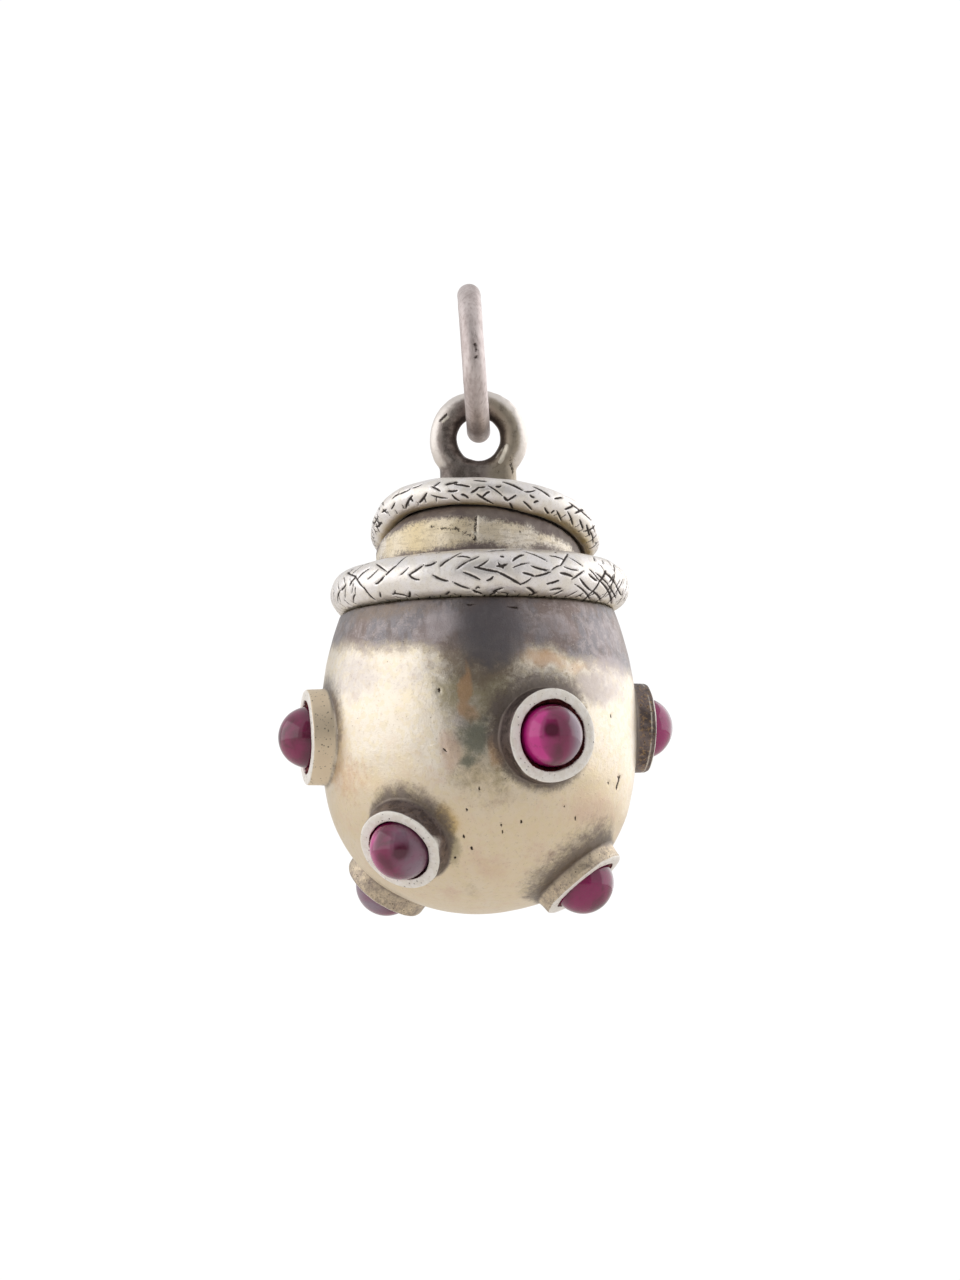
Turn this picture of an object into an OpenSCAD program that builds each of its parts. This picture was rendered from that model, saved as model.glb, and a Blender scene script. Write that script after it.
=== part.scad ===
// Egg pendant: a hollow gilt egg set with cabochons in bezel cups, with a snake wound round its neck.
// A fixed eyelet on the neck hangs from a jump ring.
// The origin is the inside top of the jump ring, where a chain bears. The front of the egg faces -Y.
// Angles round the egg are counted from the front, and grow towards +X.

/* [Jump ring] */
// Inner diameter of the jump ring
ring_inner_d = 7.1; // [6.8:0.1:7.6]
// Diameter of the jump ring's wire
ring_wire_d = 1.5; // [1.3:0.1:1.6]
// Sideways lean of the jump ring as it hangs, in degrees
ring_lean = 4; // [0:1:6]

/* [Eyelet] */
// Diameter of the hole in the eyelet
eyelet_hole_d = 2.74; // [2.6:0.02:3]
// Diameter of the eyelet's wire
eyelet_wire_d = 1.76; // [1.6:0.02:1.9]

/* [Neck] */
// Diameter of the neck between the turns of the snake
neck_d = 13; // [12.8:0.1:13.2]
// Height of the dome that closes the neck
dome_h = 2; // [1.8:0.1:2.2]
// How far the apex of the dome lies under the chain's bearing point
dome_drop = 11.2; // [11.1:0.05:11.3]

/* [Snake] */
// Radius of the lower turn's path
turn_r = 7.9; // [7.8:0.05:8.1]
// Diameter of the snake's body in the lower turn
snake_d = 3.1; // [2.9:0.05:3.2]
// How far the middle of the lower turn lies under the chain's bearing point
turn_drop = 18.1; // [18:0.05:18.3]
// How much higher the lower turn lies at the front than in its middle
turn_tip_front = 0.4; // [0.3:0.05:0.5]
// How much higher the lower turn lies on the right than in its middle
turn_tip_right = 0.25; // [0.15:0.05:0.35]

/* [Egg] */
// Largest diameter of the egg
egg_d = 20; // [19.6:0.1:20.4]
// How far the widest place lies under the chain's bearing point
belly_drop = 26.9; // [26.7:0.1:27.1]
// How far the bottom of the egg lies under the chain's bearing point
bottom_drop = 38.4; // [38.2:0.1:38.6]
// Radius of the arc of the egg's side
side_arc = 21; // [20:0.5:22]
// Radius of the arc that turns from the side to the bottom
corner_arc = 8.5; // [8.2:0.1:8.8]
// Radius of the arc of the bottom
bottom_arc = 12; // [11.5:0.1:12.5]
// Thickness of the egg's wall
wall = 0.6; // [0.5:0.05:0.8]

/* [Bezel cups] */
// Usual outer diameter of a bezel's rim
bezel_d = 5.8; // [5.7:0.1:5.9]
// Width of a bezel's rim, from its opening to its outer side
rim_w = 0.65; // [0.6:0.05:0.7]

/* [Stones] */
// Diameter of a cabochon
stone_d = 3.9; // [3.7:0.05:3.95]
// Height of a cabochon's top above its bezel's rim
stone_proud = 1.7; // [1.4:0.05:1.8]

/* [Hidden] */
STONES = [
    // [angle round the egg, elevation that the stone faces, height of the rim over the egg, extra on bezel_d]
    [25, -2.6, 1.05, 0.05],
    [104, 1, 0.9, -0.15],
    [192, 0, 1.05, 0],
    [281, -1.4, 1.05, 0.2],
    [328, -33, 0.95, -0.3],
    [76.5, -51, 0.55, -0.1],
    [156, -30, 1.05, 0],
    [232.5, -47, 0.9, -0.25],
];
$fn = 96;

// Gap between pieces that touch on the real object
fit_gap = 0.05;
// Gap between the snake and the metal that it lies on
bed_gap = 0.1;

// The ring's bottom wire carries the eyelet, straight above the egg's axis
ring_reach = ring_inner_d + ring_wire_d / 2;
pivot_x = ring_reach * sin(ring_lean);
pivot_z = -ring_reach * cos(ring_lean);
eyelet_gap = 0.09;
eyelet_z = pivot_z + ring_wire_d / 2 + eyelet_gap - eyelet_hole_d / 2;
// The web that fills the eyelet's foot, down into the dome
web_w = 4.9;
web_d = 1.7;
web_top = -10;
web_bottom = -12.1;

// The snake, from its tail under the lower turn to its thin end over it
SNAKE = [
    // [angle, radius of the path less turn_r, rise over the lower turn, share of snake_d]
    [-190, 0.00, 0.00, 0.71],
    [-150, 0.02, 0.00, 0.86],
    [-110, 0.04, 0.03, 0.92],
    [-60, 0.02, 0.02, 0.94],
    [0, 0.00, 0.00, 1.00],
    [60, 0.04, 0.00, 1.00],
    [100, 0.08, 0.08, 0.97],
    [140, -0.30, 0.92, 0.92],
    [180, -0.90, 2.05, 0.82],
    [225, -1.60, 3.23, 0.71],
    [270, -2.02, 4.15, 0.62],
    [315, -1.90, 5.32, 0.58],
    [360, -1.68, 5.35, 0.56],
    [405, -1.38, 4.54, 0.62],
    [450, -1.12, 3.10, 0.57],
    [482, -0.85, 2.47, 0.39],
];
snake_start = SNAKE[0][0];
snake_end = SNAKE[len(SNAKE) - 1][0];
upper_start = 200;
snake_step = 4;
snake_sides = 14;
tip_length = 10;

// The neck is worked out in columns round it, each with rows of heights up to its dome
neck_step = 4;
neck_bottom = -20.6;
wall_rows = 12;
bed_rows = 12;
rim_rows = 2;
rim_row_h = 0.05;
dome_rows = 5;
dome_start = -dome_drop - dome_h;
bed_limit = -dome_drop - rim_rows * rim_row_h - 0.04;
neck_bore_d = 8.4;
neck_bore_top = dome_start + 0.6;

// The egg's outline: three arcs that run into each other, each with its centre
side_centre = [egg_d / 2 - side_arc, -belly_drop];
bottom_centre = [0, bottom_arc - bottom_drop];
corner_centre = meeting_point(
    side_centre, side_arc - corner_arc, bottom_centre, bottom_arc - corner_arc
);
// The corner's arc lies a hair inside the other two, so that a clean narrow step closes each join, and the
// three pieces of the outline lap under each other
join_step = 0.01;
outline_lap = 0.5;
shell_opening_d = neck_d + 2 * fit_gap;
shell_ledge = -21.2;
shell_top = -16.5;
egg_seam = 37;
bed_seam = 90;
bed_rim = -0.4;

// Bezel and stone, measured from the egg's surface along the bezel's axis
seat_floor = -0.05;
pocket_depth = 0.6;
seat_d = stone_d + 2 * fit_gap;
foot_w = 0.35;
bezel_root = 1;

// Where two circles meet, on the right of the line from the first centre to the second
function meeting_point(a, ra, b, rb) =
    let (
        d = norm(b - a),
        along = (ra * ra - rb * rb + d * d) / (2 * d),
        across = sqrt(ra * ra - along * along),
        u = (b - a) / d
    )
    a + along * u + across * [u[1], -u[0]];

function point_at(centre, r, angle) = centre + r * [cos(angle), sin(angle)];
function direction(a, b) = atan2(b[1] - a[1], b[0] - a[0]);
function around(r, angle, z) = [r * sin(angle), -r * cos(angle), z];

// A smooth curve through column c of the snake's rows
function row_of(a, i = 1) = i >= len(SNAKE) - 1 || SNAKE[i][0] > a ? i : row_of(a, i + 1);
function slope(i, c) =
    let (p = max(i - 1, 0), q = min(i + 1, len(SNAKE) - 1))
    (SNAKE[q][c] - SNAKE[p][c]) / (SNAKE[q][0] - SNAKE[p][0]);
function snake_at(a, c) =
    let (
        i = row_of(a),
        w = SNAKE[i][0] - SNAKE[i - 1][0],
        t = (a - SNAKE[i - 1][0]) / w
    )
    (2 * t ^ 3 - 3 * t ^ 2 + 1) * SNAKE[i - 1][c]
    + (t ^ 3 - 2 * t ^ 2 + t) * w * slope(i - 1, c)
    + (3 * t ^ 2 - 2 * t ^ 3) * SNAKE[i][c]
    + (t ^ 3 - t ^ 2) * w * slope(i, c);

function turn_z(a) = -turn_drop + turn_tip_front * cos(a) + turn_tip_right * sin(a);
function path_r(a) = turn_r + snake_at(a, 1);
function path_z(a) = turn_z(a) + snake_at(a, 2);
function body_r(a) = snake_at(a, 3) * snake_d / 2;
function path(a) = around(path_r(a), a, path_z(a));

// Rounds off the snake's two ends
function rounded(a) =
    let (t = min(a - snake_start, snake_end - a) / tip_length)
    t >= 1 ? 1 : sqrt(max(1 - (1 - t) ^ 2, 0.02));

function unit(v) = v / norm(v);

// One ring of points round the snake's path
function snake_ring(a) =
    let (
        along = unit(path(a + 0.5) - path(a - 0.5)),
        radial = around(1, a, 0),
        out = unit(radial - (radial * along) * along),
        up = cross(along, out),
        r = body_r(a) * rounded(a)
    )
    [
        for (k = [0 : snake_sides - 1])
        path(a) + r * (out * cos(360 * k / snake_sides) + up * sin(360 * k / snake_sides))
    ];

// How far out the neck may reach at a height, to clear the snake at one angle along it
function bed_r(a, z) =
    let (clear = body_r(a) + bed_gap, d = z - path_z(a))
    abs(d) < clear + 0.001 ? path_r(a) - sqrt(max(clear * clear - d * d, 0)) : neck_d;
function on_snake(a) = a >= snake_start && a <= snake_end;
function dome_r(z) =
    z <= dome_start ? neck_d / 2 : neck_d / 2 * sqrt(max(1 - ((z - dome_start) / dome_h) ^ 2, 0));
function neck_r(a, z) =
    min(concat([dome_r(z)], [for (turn = [a - 360, a, a + 360]) if (on_snake(turn)) bed_r(turn, z)]));

// Rows of one column of the neck: up its side, round the upper turn's bed, over the bed's rim and up the
// dome. The bed's rows stay under the apex, and where the snake has ended they run on to the bed's start
function along_bed(a, at_end, at_start, here) =
    let (t = (a - snake_end) / (upper_start + 360 - snake_end))
    a <= snake_end ? here : at_end + (at_start - at_end) * t;
function neck_column(a) =
    let (
        turn = a < upper_start ? a + 360 : a,
        on = min(turn, snake_end),
        middle = along_bed(turn, path_z(snake_end), path_z(upper_start), path_z(on)),
        half = along_bed(turn, body_r(snake_end), body_r(upper_start), body_r(on)) + bed_gap,
        low = middle - half,
        top = min(middle + half, bed_limit),
        high = max(top + rim_rows * rim_row_h, dome_start)
    )
    concat(
        [for (i = [0 : wall_rows - 1]) neck_bottom + (low - neck_bottom) * i / wall_rows],
        [for (i = [0 : bed_rows]) low + (top - low) * (1 - cos(180 * i / bed_rows)) / 2],
        [for (i = [1 : rim_rows]) top + (high - top) * i / rim_rows],
        [for (i = [1 : dome_rows]) high - (high + dome_drop) * sin(80 * i / dome_rows)]
    );

// Triangles between rings of points that each have n points
function tube_sides(rings, n) = [
    for (i = [0 : rings - 2], k = [0 : n - 1])
    let (a = i * n + k, b = i * n + (k + 1) % n, c = a + n, d = b + n)
    each [[a, c, b], [b, c, d]]
];
function fan(centre, first, n, turned) = [
    for (k = [0 : n - 1])
    let (a = first + k, b = first + (k + 1) % n)
    turned ? [centre, b, a] : [centre, a, b]
];

// Closes a stack of rings at both ends
module skin(rings) {
    n = len(rings[0]);
    count = len(rings);
    middle = function (ring) [for (c = [0 : 2]) [for (p = ring) p[c]] * [for (p = ring) 1 / n]];
    points = concat([for (ring = rings) each ring], [middle(rings[0]), middle(rings[count - 1])]);
    faces = concat(
        tube_sides(count, n),
        fan(n * count, 0, n, false),
        fan(n * count + 1, n * (count - 1), n, true)
    );
    polyhedron(points, faces);
}

// A turned form whose seam lies at one angle round the egg
module turned(seam) {
    rotate([0, 0, seam]) rotate_extrude() children();
}

// Moves the pieces that hang under the ring onto the egg's axis
module on_axis() {
    translate([pivot_x, 0, 0]) children();
}

module jump_ring() {
    color("silver")
    rotate([0, -ring_lean, 0])
    translate([0, 0, -ring_inner_d / 2])
    rotate([0, 90, 0])
    rotate_extrude()
    translate([(ring_inner_d + ring_wire_d) / 2, 0])
    circle(d = ring_wire_d);
}

module eyelet() {
    translate([0, 0, eyelet_z])
    rotate([90, 0, 0])
    rotate_extrude()
    translate([(eyelet_hole_d + eyelet_wire_d) / 2, 0])
    circle(d = eyelet_wire_d);
}

// Fills the foot of the eyelet between two round edges
module web() {
    reach = (web_w - web_d) / 2;
    translate([0, 0, web_bottom]) {
        for (side = [-reach, reach])
            translate([side, 0, 0]) cylinder(d = web_d, h = web_top - web_bottom);
        translate([-reach, -web_d / 2, 0]) cube([2 * reach, web_d, web_top - web_bottom]);
    }
}

module neck() {
    columns = [
        for (a = [0 : neck_step : 360 - neck_step])
        [for (z = neck_column(a)) around(neck_r(a, z), a, z)]
    ];
    rows = [for (row = [0 : len(columns[0]) - 1]) [for (column = columns) column[row]]];
    color("goldenrod")
    on_axis() {
        difference() {
            skin(rows);
            translate([0, 0, neck_bottom - 1])
            cylinder(d = neck_bore_d, h = neck_bore_top - neck_bottom + 1);
        }
        eyelet();
        web();
    }
}

module snake_coil() {
    color("gainsboro")
    on_axis()
    skin([for (a = [snake_start : snake_step : snake_end]) snake_ring(a)]);
}

// The egg's outline, moved inwards by a wall's thickness
module egg_outline(inset) {
    low = point_at(corner_centre, corner_arc - inset, direction(side_centre, corner_centre));
    foot = point_at(corner_centre, corner_arc - inset, direction(bottom_centre, corner_centre));
    intersection() {
        translate(side_centre) circle(r = side_arc - inset);
        translate([0, low[1]]) square([egg_d, shell_top - low[1]]);
    }
    intersection() {
        translate(corner_centre) circle(r = corner_arc - join_step - inset);
        translate([foot[0] - outline_lap, -bottom_drop])
            square([egg_d, low[1] + bottom_drop + outline_lap]);
    }
    intersection() {
        translate(bottom_centre) circle(r = bottom_arc - inset);
        translate([0, -bottom_drop]) square([foot[0], low[1] + bottom_drop + outline_lap]);
    }
}

// Puts a bezel or a stone square on the egg's surface
module on_egg(place) {
    facing = place[1];
    low = direction(side_centre, corner_centre);
    spot = facing >= low
        ? point_at(side_centre, side_arc, facing)
        : point_at(corner_centre, corner_arc, facing);
    rotate([0, 0, place[0] - 90])
    translate([spot[0], 0, spot[1]])
    rotate([0, 90 - facing, 0])
    children();
}

// A cup with a flat rim and an upright outer side, which spreads at its foot
module bezel(place) {
    rim_h = place[2];
    outer = (bezel_d + place[3]) / 2;
    rotate_extrude()
    polygon([
        [0, -bezel_root],
        [outer + foot_w, -bezel_root],
        [outer + foot_w, -0.55],
        [outer + 0.1, -0.15],
        [outer + 0.02, 0.15],
        [outer, rim_h - 0.12],
        [outer - 0.1, rim_h],
        [0, rim_h],
    ]);
}

// The stone's seat, and the wider pocket behind the rim's lip
module pocket(place) {
    pocket_d = max(bezel_d + place[3] - 2 * rim_w, seat_d + 0.1);
    translate([0, 0, seat_floor]) cylinder(d = seat_d, h = egg_d);
    translate([0, 0, place[2] - pocket_depth]) cylinder(d = pocket_d, h = egg_d);
}

module egg_shell() {
    color("khaki")
    on_axis()
    difference() {
        union() {
            turned(egg_seam) egg_outline(0);
            for (place = STONES) on_egg(place) bezel(place);
        }
        intersection() {
            turned(egg_seam) egg_outline(wall);
            translate([0, 0, shell_ledge - 40]) cylinder(d = 2 * egg_d, h = 40);
        }
        for (place = STONES) on_egg(place) pocket(place);
        translate([0, 0, shell_ledge - 1]) cylinder(d = shell_opening_d, h = 10);
        lower_turn_bed();
    }
}

// The seat of the snake's lower turn in the egg's shoulder, and all that lies above it
module lower_turn_bed() {
    translate([0, 0, -turn_drop])
    rotate([atan(-turn_tip_front / turn_r), -atan(turn_tip_right / turn_r), 0]) {
        turned(bed_seam) {
            translate([turn_r, 0]) circle(r = snake_d / 2 + bed_gap);
            translate([0, bed_rim]) square([egg_d, 6]);
        }
    }
}

module stone(place) {
    r = stone_d / 2;
    bottom = seat_floor + fit_gap;
    girdle = place[2] + stone_proud - r - bottom;
    color("mediumvioletred")
    on_axis()
    on_egg(place)
    translate([0, 0, bottom])
    rotate_extrude() {
        square([r, girdle]);
        intersection() {
            translate([0, girdle]) circle(r = r);
            translate([0, girdle]) square([r, r]);
        }
    }
}

jump_ring();
neck();
snake_coil();
egg_shell();
for (i = [1 : len(STONES)]) stone(STONES[i - 1]);
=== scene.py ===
"""The looks of the egg pendant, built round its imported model.

Lengths are in millimetres until a mesh is made. Angles round the egg are in degrees, and count from the
front towards +X.
"""
import math

import bpy
import numpy as np
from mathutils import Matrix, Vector


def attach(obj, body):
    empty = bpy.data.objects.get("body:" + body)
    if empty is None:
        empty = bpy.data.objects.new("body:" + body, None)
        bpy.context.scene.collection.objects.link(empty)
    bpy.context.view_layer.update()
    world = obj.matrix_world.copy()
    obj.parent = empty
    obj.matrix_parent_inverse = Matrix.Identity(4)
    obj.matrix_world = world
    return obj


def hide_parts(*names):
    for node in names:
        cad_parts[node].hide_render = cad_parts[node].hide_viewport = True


bl_info = {
    "name": "Egg pendant",
    "version": (1, 0, 0),
    "blender": (4, 5, 0),
    "location": "View3D > Sidebar > Pendant",
    "description": "Builds a gilt egg pendant with cabochons and an engraved snake round its neck",
    "category": "Object",
}

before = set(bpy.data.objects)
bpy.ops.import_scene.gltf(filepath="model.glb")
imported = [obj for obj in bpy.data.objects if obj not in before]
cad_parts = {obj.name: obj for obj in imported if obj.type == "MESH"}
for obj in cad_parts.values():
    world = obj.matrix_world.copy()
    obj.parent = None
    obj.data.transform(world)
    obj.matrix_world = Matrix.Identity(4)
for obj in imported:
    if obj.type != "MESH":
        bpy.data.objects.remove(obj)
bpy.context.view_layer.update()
MM = 0.001
RING_BODY, EGG_BODY = "ring", "egg"

# The form of the solids that the pieces stand for

RING_INNER = 7.1
RING_WIRE = 1.5
RING_LEAN = math.radians(4)
RING_STEPS = 400
AXIS_X = (RING_INNER + RING_WIRE / 2) * math.sin(RING_LEAN)
AXIS = np.array([AXIS_X, 0, 0])

EGG_R = 10.0
BELLY_Z = -26.9
BOTTOM_Z = -38.4
SIDE_ARC, CORNER_ARC, BOTTOM_ARC = 21.0, 8.5, 12.0
EGG_MIDDLE_Z = -28.0
SHELL_INNER_R = 6.6
SHELL_TOP_Z = -17.6

TURN_R = 7.9
TURN_Z = -18.1
TIP_FRONT, TIP_RIGHT = 0.4, 0.25
SNAKE_R = 1.55
SNAKE = [
    # (angle, radius of the path less TURN_R, rise over the lower turn, share of SNAKE_R)
    (-190, 0.00, 0.00, 0.71),
    (-150, 0.02, 0.00, 0.86),
    (-110, 0.04, 0.03, 0.92),
    (-60, 0.02, 0.02, 0.94),
    (0, 0.00, 0.00, 1.00),
    (60, 0.04, 0.00, 1.00),
    (100, 0.08, 0.08, 0.97),
    (140, -0.30, 0.92, 0.92),
    (180, -0.90, 2.05, 0.82),
    (225, -1.60, 3.23, 0.71),
    (270, -2.02, 4.15, 0.62),
    (315, -1.90, 5.32, 0.58),
    (360, -1.68, 5.35, 0.56),
    (405, -1.38, 4.54, 0.62),
    (450, -1.12, 3.10, 0.57),
    (482, -0.85, 2.47, 0.39),
]
TIP_LENGTH = 10
SNAKE_RINGS = 1150
BED_GAP = 0.06
BED_EDGE_R = TURN_R + 1.2

STONE_R = 1.95
STONE_PROUD = 1.7
STONE_SIDES = 96
CUP_SIDES = 144
CUP_MELT = 0.16
# The light inside the stones gathers this far off their left
GLOW_TURN = math.radians(4)
# How far the dark spot, a painted reflection of the dark front, lies across and up from a stone's middle,
# where the photo shows it off the middle
DARK_REFLECTIONS = {0: (-0.78, 0.3), 4: (1.0, 0.6)}
# Radii of the painted dark reflection and of the wider soft shade round it
DARK_REFLECTION_R, HOLLOW_R = 0.36, 0.75
STONE_LOOKS = [
    # (how much it glows, how strong the painted glare is on the side that faces the light)
    (1.0, 1.3), (0.35, 1.7), (1.0, 1.0), (1.6, 0.0), (1.1, 0.9), (0.15, 1.2), (0.8, 1.0), (0.8, 1.0),
]
SEAT_FLOOR = -0.05
STONES = [
    # (angle round the egg, elevation that the stone faces, height of the rim over the egg, radius of the rim)
    (25, -2.6, 1.05, 2.925),
    (104, 1, 0.9, 2.825),
    (192, 0, 1.05, 2.9),
    (281, -1.4, 1.05, 3.0),
    (328, -33, 0.95, 2.75),
    (76.5, -51, 0.55, 2.85),
    (156, -30, 1.05, 2.9),
    (232.5, -47, 0.9, 2.775),
]
BEZEL = [
    # (radius where the rim's is 3 mm, height as a share of the rim's, height in mm that is added)
    (0.02, 0.0, SEAT_FLOOR),
    (0.70, 0.0, SEAT_FLOOR),
    (1.40, 0.0, SEAT_FLOOR),
    (1.99, 0.0, SEAT_FLOOR + 0.01),
    (2.01, 0.60, 0.0),
    (2.07, 0.68, 0.0),
    (2.17, 0.73, 0.0),
    (2.24, 0.79, 0.0),
    (2.27, 0.87, 0.0),
    (2.29, 0.94, 0.0),
    (2.32, 0.985, 0.0),
    (2.38, 1.0, 0.0),
    (2.50, 1.0, 0.0),
    (2.62, 1.0, 0.0),
    (2.74, 1.0, 0.0),
    (2.84, 1.0, -0.01),
    (2.91, 1.0, -0.03),
    (2.96, 1.0, -0.07),
    (2.985, 1.0, -0.13),
    (2.995, 1.0, -0.22),
    (3.00, 0.6, 0.0),
    (3.005, 0.35, 0.0),
    (3.01, 0.1, 0.0),
    (3.03, 0.0, -0.15),
    (3.06, 0.0, -0.32),
    (3.11, 0.0, -0.52),
    (3.19, 0.0, -0.8),
    (3.29, 0.0, -1.2),
    (3.42, 0.0, -1.8),
    (3.57, 0.0, -2.6),
    (3.74, 0.0, -3.6),
    (3.92, 0.0, -5.0),
]

# The photo: its camera, and the enlarged crops in which the builder read the marks

PHOTO_WIDTH, PHOTO_HEIGHT = 960, 1280
PHOTO_SCALE = 15.85
PHOTO_AZIMUTH, PHOTO_ELEVATION = math.radians(0.5), math.radians(-5)
PHOTO_DISTANCE = 400.0
# The pixel of the pendant's axis, and that of the inside of the ring's top
PHOTO_AXIS, PHOTO_TOP = 478.5, 306.4
# (left and top in the photo's pixels, enlargement) of each crop
LOWER_TURN, UPPER_TURN = (320, 540, 5.9375), (360, 470, 7.6)
BELLY, FOOT_OF_EGG = (320, 600, 5.0), (340, 780, 5.667)

# Where the surface is marked or tarnished, seen from outside, and where shade is painted on it

CHARTED_STAINS = [
    # (kind, crop, middle across and down, half width and half height in the crop's pixels, strength)
    ("slate", BELLY, 855, 130, 155, 175, 1.0), ("slate", BELLY, 850, 270, 130, 80, 0.75),
    ("slate", BELLY, 1160, 170, 130, 90, 0.35), ("haze", BELLY, 600, 130, 100, 90, 0.9),
    ("haze", BELLY, 1470, 340, 100, 80, 0.7), ("haze", BELLY, 1200, 130, 120, 60, 0.5),
    ("haze", BELLY, 1440, 180, 90, 100, 0.5), ("brown", BELLY, 800, 350, 200, 75, 0.8),
    ("brown", BELLY, 300, 60, 220, 45, 0.6), ("brown", BELLY, 900, 600, 45, 230, 0.6),
    ("brown", BELLY, 680, 300, 90, 60, 0.6), ("olive", BELLY, 680, 460, 110, 110, 0.7),
    ("olive", BELLY, 870, 470, 110, 120, 0.85), ("olive", BELLY, 900, 860, 90, 80, 0.5),
    ("olive", BELLY, 760, 900, 120, 60, 0.4), ("orange", BELLY, 737, 460, 20, 120, 1.0),
    ("orange", BELLY, 740, 560, 40, 30, 0.9), ("orange", BELLY, 885, 770, 32, 75, 0.75),
    ("orange", BELLY, 1130, 295, 100, 45, 0.75), ("orange", BELLY, 1270, 330, 60, 40, 0.5),
    ("orange", BELLY, 130, 900, 90, 110, 0.5), ("blot", BELLY, 775, 680, 75, 100, 1.0),
    ("blot", BELLY, 740, 800, 55, 45, 0.8), ("blot", BELLY, 810, 600, 40, 50, 0.6),
    ("haze", BELLY, 680, 600, 50, 45, 0.6), ("pink", BELLY, 645, 750, 52, 100, 0.85),
    ("pink", BELLY, 560, 880, 80, 50, 0.4), ("olive", FOOT_OF_EGG, 625, 370, 48, 95, 0.9),
    ("pink", FOOT_OF_EGG, 830, 480, 130, 90, 0.5), ("pink", FOOT_OF_EGG, 1430, 180, 140, 100, 0.7),
    ("pink", FOOT_OF_EGG, 620, 640, 60, 40, 0.6), ("pink", FOOT_OF_EGG, 1150, 420, 110, 70, 0.4),
    ("olive", FOOT_OF_EGG, 750, 640, 60, 40, 0.3),
]
FURTHER_STAINS = [
    # (kind, angle, height, half width and half height in mm, strength)
    # The five dusky rows are painted shade: the darker middle of the egg, where the metal mirrors the dark
    # front, and a shadow by the front bezel's upper right
    ("dusky_shade", 3.5, -24.6, 2.7, 3.4, 0.6),
    ("dusky_shade", 0.5, -28.6, 1.9, 2.6, 0.55),
    ("dusky_shade", 12, -26.5, 1.3, 3.4, 0.6),
    ("dusky_shade", 7, -31.2, 2.2, 1.6, 0.3),
    ("dusky_shade", 43, -24.6, 2.0, 1.1, 0.75),
    ("haze", 52, -24.6, 2.6, 1.2, 0.8),
    ("golden", -11.6, -33.1, 0.55, 0.75, 0.9),
    ("haze", -52, -24.0, 2.6, 1.5, 0.6),
    ("haze", -27, -24.2, 2.4, 1.0, 0.35),
    ("slate", 150, -22.4, 2.2, 1.8, 0.7),
    ("brown", 245, -30.0, 1.6, 1.1, 0.5),
    ("brown", 128, -27.5, 1.2, 1.6, 0.5),
    ("olive", 215, -25.5, 1.6, 2.4, 0.7),
    ("orange", 225, -28.6, 0.9, 0.7, 0.7),
    ("haze", 190, -21.5, 3.0, 1.0, 0.7),
    ("pink", 130, -32.0, 2.0, 1.4, 0.6),
]
STAIN_KINDS = ("dusky_shade", "golden", "slate", "haze", "brown", "olive", "orange", "blot", "pink")
BAND_FOOT = [
    # (angle, height) of the lower edge of the dark band under the snake
    (-180, -22.6), (-150, -22.2), (-120, -21.7), (-79, -21.8), (-61, -21.9), (-45, -22.25), (-26, -22.3),
    (-17, -22.5), (-10, -23.0), (-6, -23.2), (5, -23.5), (15, -23.5), (18.8, -22.4), (28, -22.4), (37, -22.9),
    (46, -23.2), (58, -23.4), (72, -23.4), (100, -23.0), (140, -22.2), (180, -22.6),
]
EGG_MARKS = [
    # (angle and height of one end, angle and height of the other, half width in mm)
    (64.9, -30.05, 63.5, -30.8, 0.12), (63.6, -30.05, 64.7, -30.3, 0.07), (-3.8, -19.7, 16.6, -19.86, 0.09),
    (41.3, -32.6, 42.3, -33.0, 0.05), (-13.7, -25, -13.6, -25.1, 0.1), (56, -26.3, 56.2, -26.4, 0.08),
    (56.7, -30.5, 57, -30.55, 0.1), (10.6, -30.5, 11, -30.5, 0.09), (-3.9, -32.4, -3.7, -32.5, 0.08),
    (9.7, -33.3, 9.8, -33.4, 0.09), (10.3, -33.7, 10.5, -33.8, 0.07), (17.8, -33.1, 17.9, -33.2, 0.09),
    (-2.6, -34.7, -2.5, -34.8, 0.09), (-10.6, -35.2, -10.4, -35.3, 0.09), (35, -32.1, 35.3, -32.1, 0.08),
    (-5.7, -34, -5.5, -34.1, 0.08), (0.8, -31.1, 1, -31.2, 0.07), (-11.8, -28.7, -11.4, -28.8, 0.08),
    (33.7, -31.3, 34, -31.3, 0.08), (158, -24.0, 161, -24.8, 0.08), (205, -31, 205.5, -31.2, 0.09),
]
# Dark halos round the bezels' feet: tarnish, with painted shade in the creases where the cups meet the egg
HALOS = [
    # (strength, width in mm, extra width towards one side, that side's direction in the bezel's plane)
    (1.0, 0.50, 0.6, 112),
    (0.9, 0.35, 0.5, 150),
    (0.8, 0.30, 0.8, 90),
    (0.9, 0.30, 0.6, 60),
    (0.9, 0.12, 0.62, 62),
    (1.0, 0.25, 1.4, 168),
    (0.8, 0.35, 0.5, 90),
    (0.9, 0.25, 0.75, 40),
]
BEZEL_LOOKS = [
    # (outer radius of the white face for a rim of 3 mm, how pale the cup's outer side is, how rusty it is,
    # how far the bright edge runs down it in mm)
    (2.975, 0.0, 0.0, 0.05), (2.96, 0.0, 0.5, 0.42), (2.97, 0.3, 0.3, 0.1), (2.96, 0.85, 0.3, 0.3),
    (2.98, 0.1, 0.1, 0.08), (2.97, 0.55, 0.25, 0.3), (2.97, 0.4, 0.2, 0.1), (2.96, 0.5, 0.2, 0.3),
]
RING_MARKS = [
    # (one end, the other end, half width, strength)
    ((0.34, -4.8, -1.7), (0.40, -5.03, -3.0), 0.16, 0.42),
    ((0.37, -5.03, -3.0), (0.49, -5.05, -3.36), 0.12, 0.8),
    ((0.36, -5.05, -3.42), (0.52, -5.05, -3.38), 0.08, 0.7),
    ((0.37, -5.05, -3.86), (0.50, -5.05, -3.8), 0.11, 0.85),
    ((0.42, -5.05, -4.05), (0.47, -5.05, -4.35), 0.08, 0.5),
]
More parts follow.
